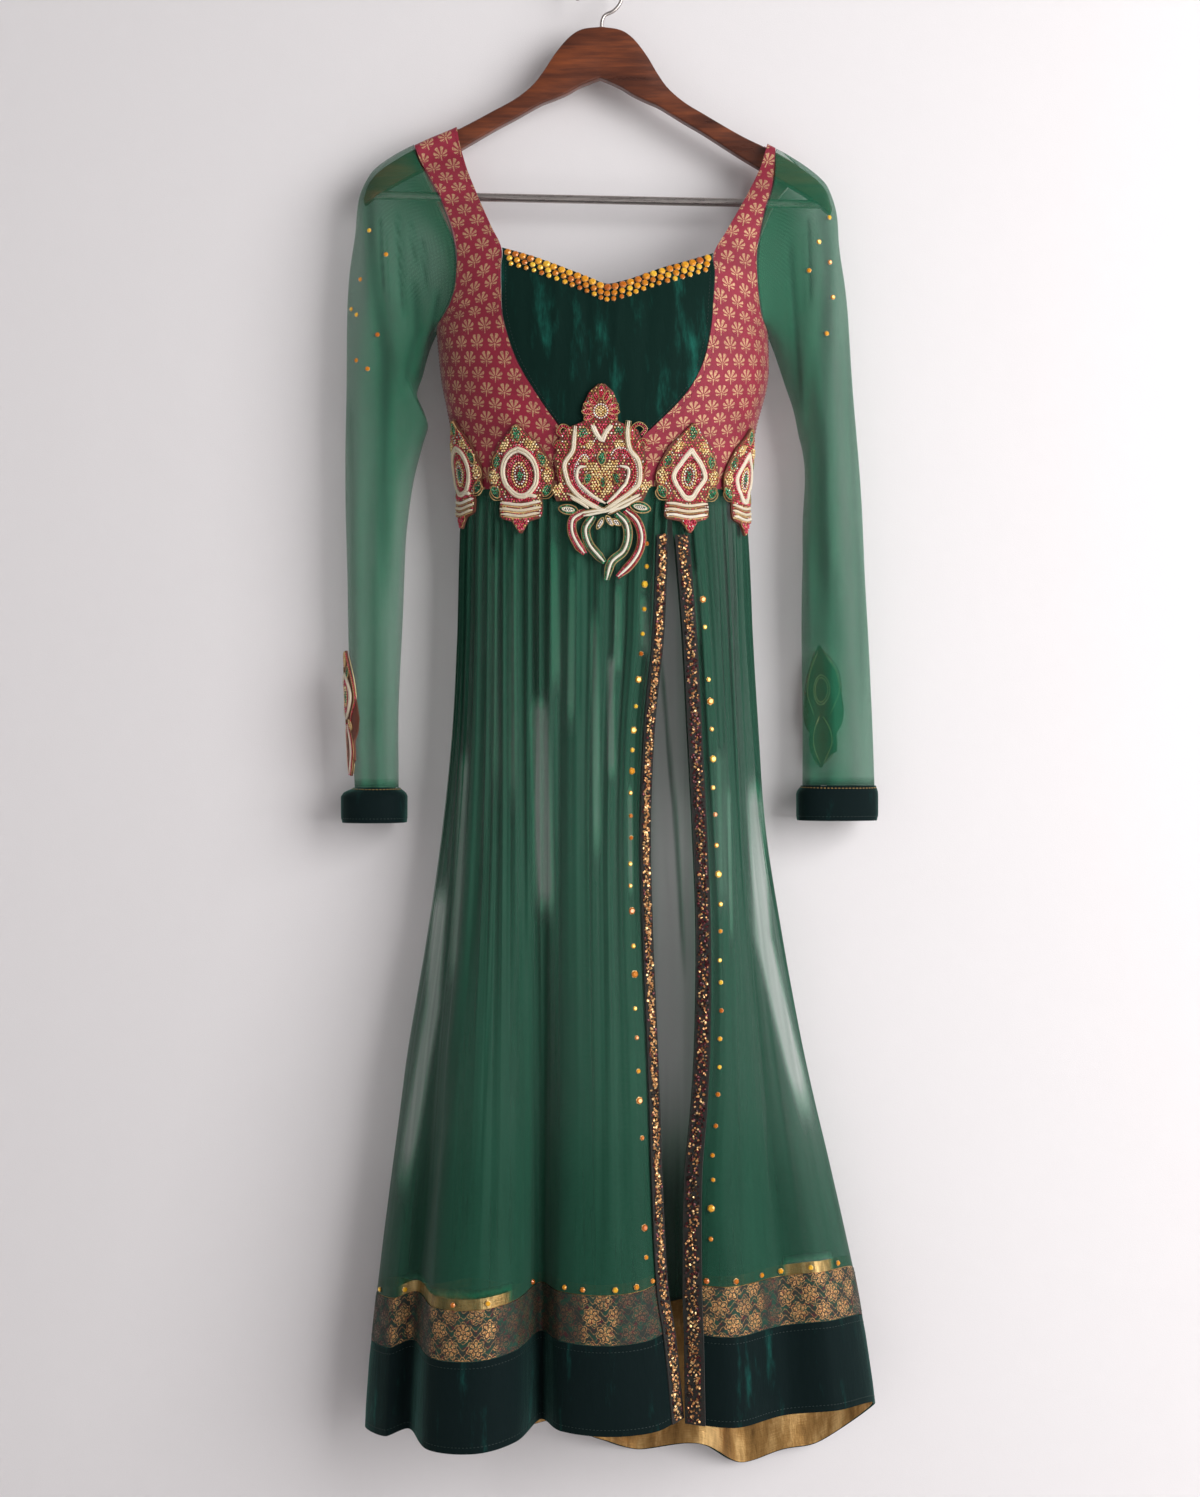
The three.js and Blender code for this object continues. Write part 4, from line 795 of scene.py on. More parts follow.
# the gold's colour follows the painted glint attribute: a painted highlight where it is high, painted shade
# in brown where it is low
turnedToLight = ramped(noise(cloth, 55, 3, 0.6), 0.3, 0.55, 0.45, 1.15)
paintedGlint = calc("MULTIPLY", attribute(tree, "paintedGlint"), turnedToLight, clamp=True)
golden = mixed(ramped(noise(cloth, 1400, 1), 0.45, 0.7), hemCloth["goldDark"], hemCloth["gold"])
golden = mixed(paintedGlint, hemCloth["shadedGold"], golden)
behind = mixed(ramped(noise(cloth, 130, 2), 0.45, 0.6), hemCloth["ground"], hemCloth["green"])
behind = mixed(ramped(noise(cloth, 210, 2), 0.56, 0.68), behind, hemCloth["maroon"])
dress(
    surface, baseColor=mixed(figure, behind, golden), metallic=figure * 0.55,
    roughness=ramped(figure, 0, 1, 0.75, 0.34), normal=bumped(figure, 0.6, 0.0004),
)

# gold cloth with fine ridges; its colour is painted dark in the creases and bright on the bulges: painted
# shade and painted reflection
gold = {"light": srgb(250, 210, 144), "middle": srgb(170, 130, 76), "dark": srgb(84, 58, 30)}
goldMaterial, tree, surface = newMaterial("gold_cloth", metallic=0.85, roughness=0.34)
cloth = clothUv(tree)
crinkle = noise(cloth, 70, 4, 0.65, (1, 0.3, 1))
paintedReflection = noise(cloth, 26, 3, 0.55, (1, 0.35, 1))
ridges = noise(cloth, 1500, 2, 0.5, (0.05, 1, 1))
# the crinkle and bulge noise paint shade and reflection into the colour; the crinkle also bumps the surface
tone = ridges * 0.16 + (crinkle * 0.5 + paintedReflection * 0.6)
golden = rampColors(tone, [(0.42, gold["dark"]), (0.82, gold["light"]), (0.62, gold["middle"])])
dress(
    surface, baseColor=golden, roughness=ramped(ridges, 0.2, 0.8, 0.26, 0.45),
    normal=bumped(ridges * 0.1 + crinkle, 0.7, 0.003),
)

# the tape under the sequins
tapeMaterial, tree, surface = newMaterial("tape", roughness=0.75, sheen=0.3, specular=0.3)
speck = noise(clothUv(tree), 700, 2, 0.6)
dress(
    surface, baseColor=mixed(ramped(speck, 0.4, 0.6), srgb(10, 26, 20), srgb(38, 24, 22)),
    normal=bumped(speck, 0.5, 0.0006),
)
print("materials ready")

# the stage


def plainSurface(name, color, strength):
    made, tree, surface = newMaterial(name, roughness=0.9, specular=0.2)
    grainy = noise(ownPlace(tree), 900, 3, 0.6)
    darker = tuple(c * 0.97 for c in color)
    dress(surface, baseColor=mixed(grainy, darker, color), normal=bumped(grainy, strength, 0.0004))
    return made, tree, surface


wallMaterial, tree, surface = plainSurface("wall_paint", srgb(233, 229, 230), 0.25)
# the wall is clear from behind
dress(surface, alpha=calc("SUBTRACT", 1, node(tree, "ShaderNodeNewGeometry", {}, "Backfacing")))
floorMaterial = plainSurface("floor", srgb(222, 220, 220), 0.15)[0]
y, low, top = studio["wallY"], studio["floorZ"], studio["wallTop"]
for name, corners, material in (
    ("wall", [(-4, y, low), (4, y, low), (4, y, top), (-4, y, top)], wallMaterial),
    ("floor", [(-4, -4, low), (4, -4, low), (4, 4, low), (-4, 4, low)], floorMaterial),
):
    makeMesh(name, corners, [(0, 1, 2, 3)], material=material)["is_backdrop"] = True

# the hanger


def onHanger(points, offset=True):
    x, y, z = np.moveaxis(np.asarray(points, float), -1, 0)
    x = x + hanger["offset"] * offset
    c, s = math.cos(hanger["tilt"]), math.sin(hanger["tilt"])
    return np.stack([c * x + s * z, y, c * z - s * x], -1)


def tube(path, radius, sidesOf=12, facing=None, flatness=1):
    path = np.asarray(path, float)
    ahead = unit(np.gradient(path, axis=0))
    side = unit(np.cross(ahead, np.broadcast_to([0, -1, 0] if facing is None else facing, path.shape)))
    out = np.cross(side, ahead)
    turn = np.linspace(0, 2 * np.pi, sidesOf, endpoint=False)[None, :, None]
    radius = np.broadcast_to(radius, len(path))[:, None, None]
    return path[:, None] + radius * (np.cos(turn) * side[:, None] + flatness * np.sin(turn) * out[:, None])


def cappedTube(grid):
    rows, columns = grid.shape[:2]
    faces = gridFaces(rows, columns, True).tolist()
    faces += [list(range(columns))[::-1], list(range((rows - 1) * columns, rows * columns))]
    return grid.reshape(-1, 3), faces


def turnedOut(piece):
    made = bmesh.new()
    made.from_mesh(piece.data)
    bmesh.ops.recalc_face_normals(made, faces=made.faces)
    made.to_mesh(piece.data)
    made.free()
    return piece


# every piece moves with the one body, and most replace nodes of the frame
def fitted(piece, slotName, *replaced):
    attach(piece, "root")
    if replaced:
        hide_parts(*replaced)
    return piece


def onHook(name, grid, slotName, material, replaced, sharp=60, offset=True):
    points, faces = cappedTube(onHanger(grid, offset))
    made = turnedOut(makeMesh("hanger_" + name, points * mm, faces, material=material, sharp=sharp))
    return fitted(made, slotName, "hanger_" + replaced)


outs = np.concatenate([np.linspace(0, 60, 31), np.linspace(63, 205, 40), np.linspace(208, 222, 9), [223.3]])
outs = np.concatenate([-outs[:0:-1], outs])
reachOf = np.minimum(np.abs(outs), 222)
upper, lower = (readAt(armEdge, "out", name, reachOf) for name in ("top", "bottom"))
middle, half = (upper + lower) / 2, (upper - lower) / 2
half = np.where(np.abs(outs) > 222, half * 0.6, half)
halfThick = np.where(np.abs(outs) > 222, 4.2, hanger["thickness"] / 2)
r = np.minimum(hanger["edgeRound"], half * 0.9)
corners = []
for signY, signZ, quarter in ((1, 1, 0), (-1, 1, 1), (-1, -1, 2), (1, -1, 3)):
    for angle in np.linspace(0, np.pi / 2, 5) + quarter * np.pi / 2:
        y, z = signY * (halfThick - r) + r * np.cos(angle), middle + signZ * (half - r) + r * np.sin(angle)
        corners.append(np.stack([outs, y, z], -1))
hangerBoard = onHook("board", np.stack(corners, 1), "wood", woodMaterial, "wood", 50)

barPath = [(x, 0, hanger["barZ"]) for x in np.linspace(-hanger["barReach"], hanger["barReach"], 24)]
onHook("rod", tube(barPath, hanger["barRadius"], 20), "steel", steelMaterial, "bar")

r, offset, top = hanger["hookRadius"], hanger["offset"], armEdge["top"][0]
centreZ = hanger["stemRadius"] - r
route = [(offset, 0, top - hanger["stemDepth"] + 2), (offset, 0, top), (offset + 0.6, 0, centreZ - r - 4),
         (offset + 3, 0, centreZ - r + 0.4)]
for degrees in range(-50, 201, 25):
    route.append((r * math.cos(math.radians(degrees)), 0, centreZ + r * math.sin(math.radians(degrees))))
hookPath = curveThrough(route)(shares(120))
onHook("wire", tube(hookPath, hanger["stemRadius"], 16), "steel", steelMaterial, "hook", offset=False)
print("hanger ready")

# the side panels of the bodice


def edgeAt(values, index, corner):
    values = np.asarray(values, float)
    rows = np.arange(len(values), dtype=float)
    straight = np.interp(index, rows, values)
    bent = readAt({"i": rows[corner:], "v": values[corner:]}, "i", "v", np.maximum(index, corner))
    return np.where(index < corner, straight, bent)


panel = {"rows": 8, "columns": 24, "fold": 14, "crest": 5.3}


# rows of stitches to sew: a grid of the cloth, the axis, the line along it, and the tone of the thread
seams = []


def sidePanel(side, face):
    e = panelEdges[face + "_" + side]
    back = face == "back"
    sideAngle = np.pi if side == "left" else 2 * np.pi if back else 0.0
    isSide = e["side"] > 0
    lastSide = int(isSide.sum()) - 1
    inner = angleAt(e["innerX"], e["innerZ"], back)
    outer = np.where(isSide, sideAngle, angleAt(e["outerX"], e["outerZ"], back))
    seam = np.where(isSide, 0.0018, 0.0007) * np.sign(outer - inner)
    index = np.linspace(0, len(inner) - 1, panel["rows"] * (len(inner) - 1) + 1)[:, None]
    s = shares(panel["columns"] + 1)[None, :]
    angle = blend(edgeAt(inner + seam, index, 3), edgeAt(outer - seam, index, lastSide), s)
    z = blend(edgeAt(e["innerZ"], index, 3), edgeAt(e["outerZ"], index, lastSide), s)
    outside, inside = lifted(bodiceDown, angle, -z, np.zeros(z.shape), garment["brocade"])
    below = bodice(angle[-1 - panel["rows"]], z[-1 - panel["rows"]])
    t = np.linspace(0, np.pi / 2, panel["fold"] + 1)[1:, None]
    out, up = powered(np.cos(t), 2 / panel["crest"]), powered(np.sin(t), 2 / panel["crest"])
    folded = []
    for points, thick in ((outside, garment["brocade"]), (inside, 0)):
        p = points[-1]
        crestX, crestZ = crestOf(below[:, 0], below[:, 2], p[:, 0], p[:, 2])
        folded.append(np.stack([
            blend(p[:, 0], crestX, up), np.sign(p[:, 1]) * garment["seam"] * 0.6 + p[:, 1] * out,
            blend(p[:, 2], crestZ + thick, up),
        ], -1))
    outside, inside = np.concatenate([outside, folded[0]]), np.concatenate([inside, folded[1]])
    # the cloth's own measures: along the ring from its middle, and down the cloth
    across = outside[..., 0] - 3
    bulge = np.cumsum(np.linalg.norm(np.diff(outside, axis=1), axis=-1), axis=1)
    run = np.concatenate([np.zeros((len(outside), 1)), bulge], 1)
    first = alongRing(angle if not back else 2 * np.pi - angle, z)[:, :1]
    first = np.concatenate([first, np.repeat(first[-1:], panel["fold"], 0)])
    u = first + run * (1 if side == "right" else -1)
    middle = outside[:, panel["columns"] // 2]
    v = np.broadcast_to((middle[0, 2] + runAlong(middle))[:, None], u.shape)
    leaning = across.mean(1, keepdims=True) - across[60].mean()
    u = u - np.where(v > -330, 0.6 * leaning * smooth(v, -330, -300), 0)
    uv = np.stack([u, v], -1) * mm
    made = wallMesh("panel_" + face + "_" + side, outside, inside, uv, material=brocadeMaterial)
    seams.extend([(outside[::3], 1, 1, 0.5), (outside[::3], 1, panel["columns"] - 1, 0.5)])
    made.data.materials.append(insideMaterial)
    count = (len(outside) - 1) * panel["columns"]
    slots = np.zeros(len(made.data.polygons), int)
    slots[count:2 * count] = 1
    made.data.polygons.foreach_set("material_index", slots)
    return turnedOut(made)


def declare(piece, replaced, slotName):
    fitted(piece, slotName, *replaced)


for side in sides:
    for face in ("front", "back"):
        made = sidePanel(side, face)
        replaced = ["bodice_" + face + "_" + side]
        declare(made, replaced, "brocade")
print("side panels ready")


# strokes in the front view, each a line of x, z places with a half width and an amount
def stroked(x, z, strokes, sharp=2):
    made = np.zeros(np.broadcast(x, z).shape)
    for line, half, amount in strokes:
        xs, zs = np.array(line, float).T
        order = np.argsort(zs)
        centre = np.interp(z, zs[order], xs[order])
        low, high = zs.min(), zs.max()
        tall = high - low
        fade = smooth(high - z, -0.02 * tall, 0.12 * tall) * smooth(z - low, -0.02 * tall, 0.22 * tall)
        made += amount * np.exp(-(np.abs((x - centre) / half) ** sharp)) * fade
    return made


# a place on the garment from its place in the front view
front = {"step": 0.917, "middle": 600, "above": 28, "drop": 30}


def frontPlace(px, py):
    return (px - front["middle"]) * front["step"], -front["step"] * (py + front["above"]) - front["drop"]


def frontSpans(points, spans, soft=4):
    px = points[..., 0] / front["step"] + front["middle"]
    return sum(smooth(px, a - soft, a + soft) * (1 - smooth(px, b - soft, b + soft)) for a, b in spans)


# the yoke
yokeForm = {
    "seam": 0.5, "point": 6.5, "rows": 60, "columns": 96,
    "creases": [
        (-40, -345, 5, 60, 0.9, 0.05), (-12, -360, 4, 70, -0.8, -0.02), (16, -350, 5, 60, 1, 0.03),
        (44, -350, 6, 55, -0.9, 0.06), (66, -360, 5, 50, 0.8, 0.02), (-66, -345, 6, 45, -0.7, 0),
        (28, -400, 7, 40, 0.8, -0.1), (-24, -415, 8, 35, 0.7, 0.12),
    ],
}


def yokePlace(c, s):
    index = 3 + 6 * s
    left, right = panelEdges["front_left"], panelEdges["front_right"]
    lx, lz, rx, rz = (edgeAt(e[name], index, 3) for e in (left, right) for name in ("innerX", "innerZ"))
    x = blend(lx + yokeForm["seam"], rx - yokeForm["seam"], c)
    straight = blend(lz, rz, c) + yokeForm["seam"]
    top = readAt(neckline, "x", "z", blend(neckline["x"][0], neckline["x"][-1], c))
    dip = s**2 * (top - blend(left["innerZ"][9], right["innerZ"][9], c))
    point = (1 - s) ** 4 * yokeForm["point"] * (1 - np.abs(2 * c - 1))
    z = straight + dip - point
    return angleAt(x, z), z


def yokeNeck(c, below=0, lift=0):
    c = np.asarray(c, float)
    angle, z = yokePlace(c, np.ones_like(c))
    return lifted(bodiceDown, angle, -(z - below), np.full(z.shape, float(lift)), 0)[0]


c, s = np.meshgrid(shares(yokeForm["columns"] + 1), shares(yokeForm["rows"] + 1))
angle, z = yokePlace(c, s)
relief = creased(bodice(angle, z)[..., 0], z, yokeForm["creases"]) * smooth(np.minimum(c, 1 - c), 0, 0.08)
outside, inside = lifted(bodiceDown, angle, -z, relief, garment["velvet"])
seams += [(outside, 0, len(outside) - 2, 0), (outside, 1, 2, 0), (outside, 1, yokeForm["columns"] - 2, 0)]
uv = np.stack([alongRing(angle, z), z], -1) * mm
yoke = turnedOut(wallMesh("yoke_front", outside, inside, uv, material=yokeVelvet))
declare(yoke, ["yoke"], "velvet")

# the sleeves of net, dark where they lie in folds
sleeveLook = {
    "rows": 9, "columns": 84, "layers": {"left": 0.97, "right": 1.35}, "wrinkle": 0.9,
    "left": [
        ([(-222, -190), (-214, -290), (-203, -370), (-202, -480), (-204, -620)], 6.5, 1.1),
        ([(-206, -240), (-203, -320)], 1.6, 1.3), ([(-190, -235), (-187, -300), (-184, -345)], 1.8, 1.2),
        ([(-178, -245), (-172, -290)], 1.6, 1), ([(-166, -262), (-163, -318)], 2, 1),
        ([(-174, -300), (-172, -350), (-188, -420)], 5, 1),
        ([(-150, -310), (-158, -350), (-176, -405)], 3, 1.2),
        ([(-236, -400), (-233, -560), (-233, -700)], 3.5, 0.5), ([(-214, -560), (-213, -760)], 4, 0.35),
    
    ],
    "right": [
        ([(208, -200), (214, -290), (211, -380), (210, -500), (214, -640)], 7, 0.9),
        ([(196, -240), (198, -330)], 1.8, 1),
        ([(178, -260), (184, -350), (190, -430)], 3, 0.9),
        ([(232, -330), (238, -450), (246, -600), (250, -740)], 4, 0.6),
        ([(222, -560), (224, -760)], 4, 0.4), ([(204, -640), (216, -775)], 17, -0.85),
    ],
}
for side, sign in sides.items():
    along = np.linspace(0, 12, 12 * sleeveLook["rows"] + 1)[:, None]
    turn = np.linspace(0, 360, sleeveLook["columns"], endpoint=False)[None, :] * sign

    def onSleeve(t, k, side=side):
        return sleevePoint(side, t * 50, k)

    places = (turn / 50, along)
    base = sleevePoint(side, turn, along)
    turned = np.radians(turn)
    wrinkle = np.sin(turned * 5 + 2.2 * np.sin(along * 0.7)) * np.sin(along * 1.7 + turned * 2)
    wrinkle = wrinkle * sleeveLook["wrinkle"] * smooth(along, 0.3, 2) * smooth(12 - along, 0, 1)
    onFront = smooth(-base[..., 1], 0, 8)
    dark = stroked(base[..., 0], base[..., 2], sleeveLook[side])
    out = normals(onSleeve, *places) * sign
    grid = base + out * (wrinkle - 0.5 - 1.2 * np.clip(dark, 0, 1) * onFront)[..., None]
    cover = sleeveLook["layers"][side] + dark * (0.35 + 0.65 * onFront)
    cover = np.where(along < 0.35, cover + 1.4, cover)
    cover = np.where(along > 11.9, cover + 1.2, cover)
    length = np.broadcast_to(-base[..., 2].mean(1, keepdims=True), base.shape[:2])
    uv = np.stack([np.broadcast_to(turn / 360 * 150, base.shape[:2]), length], -1) * mm
    made = turnedOut(sheetMesh("net_sleeve_" + side, grid, uv, {"layers": cover}, netMaterial, True))
    declare(made, ["sleeve_" + side], "net")

# the cuffs
cuffs = {
    "left": {"middle": -215, "half": 29.5, "front": 33, "back": 21, "ventTurn": 215},
    "right": {"middle": 226, "half": 37, "front": 27, "back": 20, "ventTurn": 250},
    "height": 33, "flare": 0.25, "vent": 0.015, "columns": 120, "rows": 16,
}


def cuffPlace(side, turn, down):
    end = {name: sleeveTables[side][name][-1] for name in sleeveNames.split()}
    spec, sign = cuffs[side], sides[side]
    ease = smooth(down, 0, cuffs["flare"])
    c, s = np.cos(turn), np.sin(turn)
    half = blend(abs(end["outerX"] - end["innerX"]) / 2, spec["half"], ease)
    reach = np.where(s > 0, blend(end["front"], spec["front"], ease), blend(end["back"], spec["back"], ease))
    x = blend((end["outerX"] + end["innerX"]) / 2, spec["middle"], ease) + sign * half * c
    z = np.broadcast_to(end["outerZ"] - garment["seam"] - cuffs["height"] * down, x.shape)
    return np.stack([x, -reach * powered(s, sleeveForm["bluntness"]), z], -1)


for side, sign in sides.items():
    steps = np.linspace(cuffs["vent"], 1 - cuffs["vent"], cuffs["columns"] + 1)[None, :]
    turn = np.radians(sign * cuffs[side]["ventTurn"] + 360 * steps) * sign
    down = shares(cuffs["rows"] + 1)[:, None]

    def onCuff(t, d, side=side):
        return cuffPlace(side, t, d)

    turn, down = np.broadcast_arrays(turn, down)
    roll = 0.9 * (np.exp(-((down / 0.1) ** 2)) + np.exp(-(((1 - down) / 0.1) ** 2)))
    bend = 0.7 * np.sin(turn * 3 + down * 2) * (1 - roll)
    out = normals(onCuff, turn, down) * sign
    base = cuffPlace(side, turn, down)
    outside = base + out * (garment["velvet"] - roll + bend * 0.5)[..., None]
    inside = base + out * (bend * 0.5)[..., None]
    uv = np.stack([np.broadcast_to(steps * 190, turn.shape), base[..., 2]], -1) * mm
    made = turnedOut(wallMesh("velvet_cuff_" + side, outside, inside, uv, material=hemVelvet))
    seams += [(outside, 0, 1, 1), (outside, 0, cuffs["rows"] - 2, 0)]
    declare(made, ["cuff_" + side], "velvet")
print("sleeves ready")

# the skirt's net, lightest where only one layer hangs before the wall
netLook = {
    "base": 3.1, "back": 1, "backLow": 2.6, "streak": 0.16, "rows": 90, "hemRound": 1300,
    "panels": {"front_wide": (0, 0.38, 520), "back": (0.38, 0.84, 440), "front_narrow": (0.84, 1, 240)},
    "windows": [
        ([(-99, -542), (-97, -804)], 4, -0.6), ([(-82, -542), (-81, -817)], 4.2, -0.7),
        ([(-57, -686), (-50, -913)], 9, -1.2), ([(-43, -542), (-40, -698)], 4, -0.6),
        ([(-25, -569), (-27.5, -734)], 4, -0.8), ([(-126, -734), (-139, -982)], 4.5, -0.8),
        ([(-5.5, -606), (-2, -863)], 4.5, -0.8), ([(10, -652), (11, -780)], 4, -1),
        ([(17, -588), (16, -679)], 4, -0.8), ([(40, -597), (42, -661)], 4, -0.8),
        ([(27.5, -771), (28.5, -886)], 2.6, -1), ([(89, -569), (91, -652)], 3.5, -0.6),
        ([(112, -734), (115.5, -908)], 6, -0.6), ([(120, -771), (122, -936)], 1.8, -0.7),
        ([(-150, -860), (-157, -985), (-190, -1180)], 8, -1.1),
        ([(145, -760), (153, -918), (170, -990), (200, -1110)], 9, -1.2),
    ],
    "folds": [
        ([(482, 833), (463, 1000), (412, 1300)], 5, 0.8), ([(545, 900), (543, 1290)], 3.5, 0.9),
        ([(580, 540), (579, 740)], 1.8, 1), ([(498, 560), (494, 900), (480, 1200)], 2.4, 0.6),
        ([(530, 560), (528, 800)], 1.8, 0.7), ([(605, 900), (600, 1280)], 4, 0.45),
        ([(722, 560), (727, 900), (742, 1260)], 3, 0.6), ([(743, 600), (750, 860), (800, 1240)], 3, 0.5),
    ],
    "backWindows": [([(58, -540), (66, -800), (68, -1150)], 17, -0.9)],
    "backFolds": [
        ([(58, -650), (72, -800), (82, -970)], 2.2, 1.6), ([(-60, -600), (-70, -900), (-90, -1100)], 3, 1),
        ([(0, -560), (2, -900)], 2.5, 0.8), ([(120, -620), (140, -900), (170, -1150)], 3, 1),
        ([(-110, -640), (-130, -1000)], 3.5, 0.8),
    ],
}
frontFolds = [([frontPlace(*at) for at in line], half, amount) for line, half, amount in netLook["folds"]]
topOfHem = garment["velvetBorder"] + garment["brocadeBorder"] + 2 * garment["hemSeam"]
skirtPieces = {}


def lines(around, share):
    phase = gatherPhase(around)
    fine = np.sin(2 * np.pi * 2.37 * phase + 1.3) * 0.5 + np.sin(2 * np.pi * 3.9 * phase + 5 * share) * 0.35
    coarse = np.sin(2 * np.pi * 0.61 * phase + 0.7)
    return fine, coarse


hemLook = {
    # spans in the front view where the hem's gold gets a painted glint
    "paintedGlint": [(388, 410), (434, 498), (584, 616), (694, 762), (782, 857)],
    "strip": [(399, 513), (785, 836)], "stripHeight": 10,
}


# places round one panel, clear of the seams at its sides
def roundPanel(name, fewer=1):
    start, end, columns = netLook["panels"][name]
    seam = garment["seam"] / 2 / netLook["hemRound"]
    low, high = start + (seam if start else 0), end - (seam if end < 1 else 0)
    return np.linspace(low, high, columns // fewer + 1)[None, :]


for name in netLook["panels"]:
    around = roundPanel(name)
    rows = shares(netLook["rows"] + 1)[:, None] ** 1.15
    share = shareAbove(around, topOfHem) * rows
    around, share = np.broadcast_arrays(around, share)
    fine, coarse = lines(around, share)
    depth = readAt(skirtSections, "share", "gather", share)
    base = skirt(around, share)
    x, z = base[..., 0], base[..., 2]
    dark = stroked(x, z, netLook["backFolds"] if name == "back" else frontFolds)
    atEdge = smooth(np.minimum(around, 1 - around), 0, 0.012)
    lift = 0.25 * depth * fine + 0.5 * coarse * smooth(share, 0.1, 0.4)
    lift = lift - 1.4 * np.clip(dark, 0, 1) * smooth(share, 0.03, 0.1)
    grid = base + normals(skirt, around, share) * (lift * atEdge * smooth(1 - rows, 0, 0.08) - 0.5)[..., None]
    light = np.clip(stroked(x, z, netLook["windows"], 4), -1, 0)
    if name == "back":
        cover = blend(netLook["back"], netLook["backLow"], smooth(-z, 1080, 1200))
        thinner = np.clip(light + stroked(x, z, netLook["backWindows"], 4), -1, 0)
        cover = cover * (1 + 0.85 * thinner) + dark
        cover = cover * (1 + netLook["streak"] * 0.7 * (fine + coarse * 0.5))
    else:
        cover = blend(0.3, netLook["base"], 1 + light * (0.9 + 0.1 * fine)) + dark
        streaks = netLook["streak"] * (fine + 0.6 * coarse) * (1.1 - 0.7 * smooth(share, 0.2, 0.7))
        cover = cover * (1 + streaks)
        inStrip = shareAbove(around, topOfHem + hemLook["stripHeight"]) < share
        cover = blend(cover, 0.35, np.clip(frontSpans(base, hemLook["strip"]) * inStrip, 0, 1))
    cover = cover + 1.5 * (1 - smooth(share, 0, 0.01))
    uv = np.stack([hemLength(around), -share * skirtLength(around)], -1) * mm
    made = sheetMesh("net_" + name, grid, uv, {"layers": np.clip(cover, 0.3, 6)}, netMaterial)
    if sum(p.normal.y * (1 if name == "back" else -1) for p in made.data.polygons) < 0:
        made.data.flip_normals()
    skirtPieces[name] = made


# the bands at the hem
def hemBand(
    name, panelName, high, low, thickness, material, lift=0, rows=10, ripple=0, bulge=0, paintedGlint=None,
):
    around = roundPanel(panelName, 2)
    around, height = np.broadcast_arrays(around, np.linspace(high, low, rows + 1)[:, None])
    along = hemLength(around)
    wave = np.sin(along / 23 + 0.8 * np.sin(along / 61)) * (high - height) / max(1, high - low)
    edge = smooth(np.minimum(high - height, height - low), 0, 0.25 * (high - low))
    moved = lift + ripple * wave + bulge * edge
    outside, inside = lifted(skirt, around, shareAbove(around, height), moved, thickness)
    uv = np.stack([along, height], -1) * mm
    if rows > 3:
        seams.extend([(outside, 0, 1, 0), (outside, 0, rows - 1, 0)])
    values = None
    # the front bands get a painted glint over the spans where the gold catches the light, the back band an
    # even one
    if paintedGlint is not None:
        facingLight = 0.1 + frontSpans(outside, hemLook["paintedGlint"])
        values = {"paintedGlint": np.full(height.shape, paintedGlint) if panelName == "back" else facingLight}
    return turnedOut(wallMesh(name, outside, inside, uv, values, material=material))


border, thick = garment["velvetBorder"], garment["velvet"]
bandLow, bandHigh = border + garment["hemSeam"], border + garment["brocadeBorder"] + garment["hemSeam"]
# flat widths at the hem, and the net's flat area above it
hemCuts = {"front_wide": (0.415, 0.27), "back": (0.605, 0.39), "front_narrow": (0.215, 0.125)}
for name, (flatWidth, area) in hemCuts.items():
    woven = hemBand(
        "woven_hem_" + name, name, bandHigh, bandLow, garment["band"], hemBrocade, ripple=0.3, paintedGlint=0.4,
    )
    pile = hemBand("velvet_hem_" + name, name, border, 0, thick, hemVelvet, rows=14, ripple=0.8, bulge=0.5)
    stripTop = bandHigh + hemLook["stripHeight"]
    strip = hemBand("gold_strip_" + name, name, stripTop, bandHigh - 1, 0.3, goldMaterial, lift=-1.4, rows=3)
    declare(strip, [], "gold_cloth")
    declare(woven, ["hem_brocade_" + name], "hem_brocade")
    declare(pile, ["hem_velvet_" + name], "velvet")
    declare(skirtPieces[name], ["skirt_" + name], "net")
liner = hemBand(
    "gold_facing", "back", garment["facingHeight"], 1, garment["facing"], goldMaterial,
    lift=-thick - garment["seam"], rows=18,
)
declare(liner, ["hem_facing_back"], "gold_cloth")

# the tapes on the two front edges
tape = {"width": 0.016, "clearance": 3.9, "from": 0.052, "rows": 160, "across": 6}


def tapePlace(across, share, lift=0, atStart=True):
    around = 0.0004 + across * (tape["width"] - 0.0004)
    around, share = np.broadcast_arrays(around if atStart else 1 - around, share)
    raised = np.minimum(tape["clearance"], 0.9 + readAt(skirtSections, "share", "gather", share))
    return lifted(skirtForm, around, share, raised + garment["tape"] + lift, garment["tape"])


for side in sides:
    across = shares(tape["across"] + 1)[None, :]
    share = np.linspace(tape["from"], 1, tape["rows"] + 1)[:, None]
    puff = 0.5 * np.sin(np.pi * across)
    outside, inside = tapePlace(across, share, puff, side == "left")
    uv = np.stack(np.broadcast_arrays(across * 14, -share * 857), -1) * mm
    made = turnedOut(wallMesh("tape_" + side, outside, inside, uv, material=tapeMaterial))
    declare(made, ["slit_tape_" + side], "sequin_tape")
print("skirt ready")

# embroidery: cords, beads and leaves worked in the flat of a motif and laid on the cloth under it


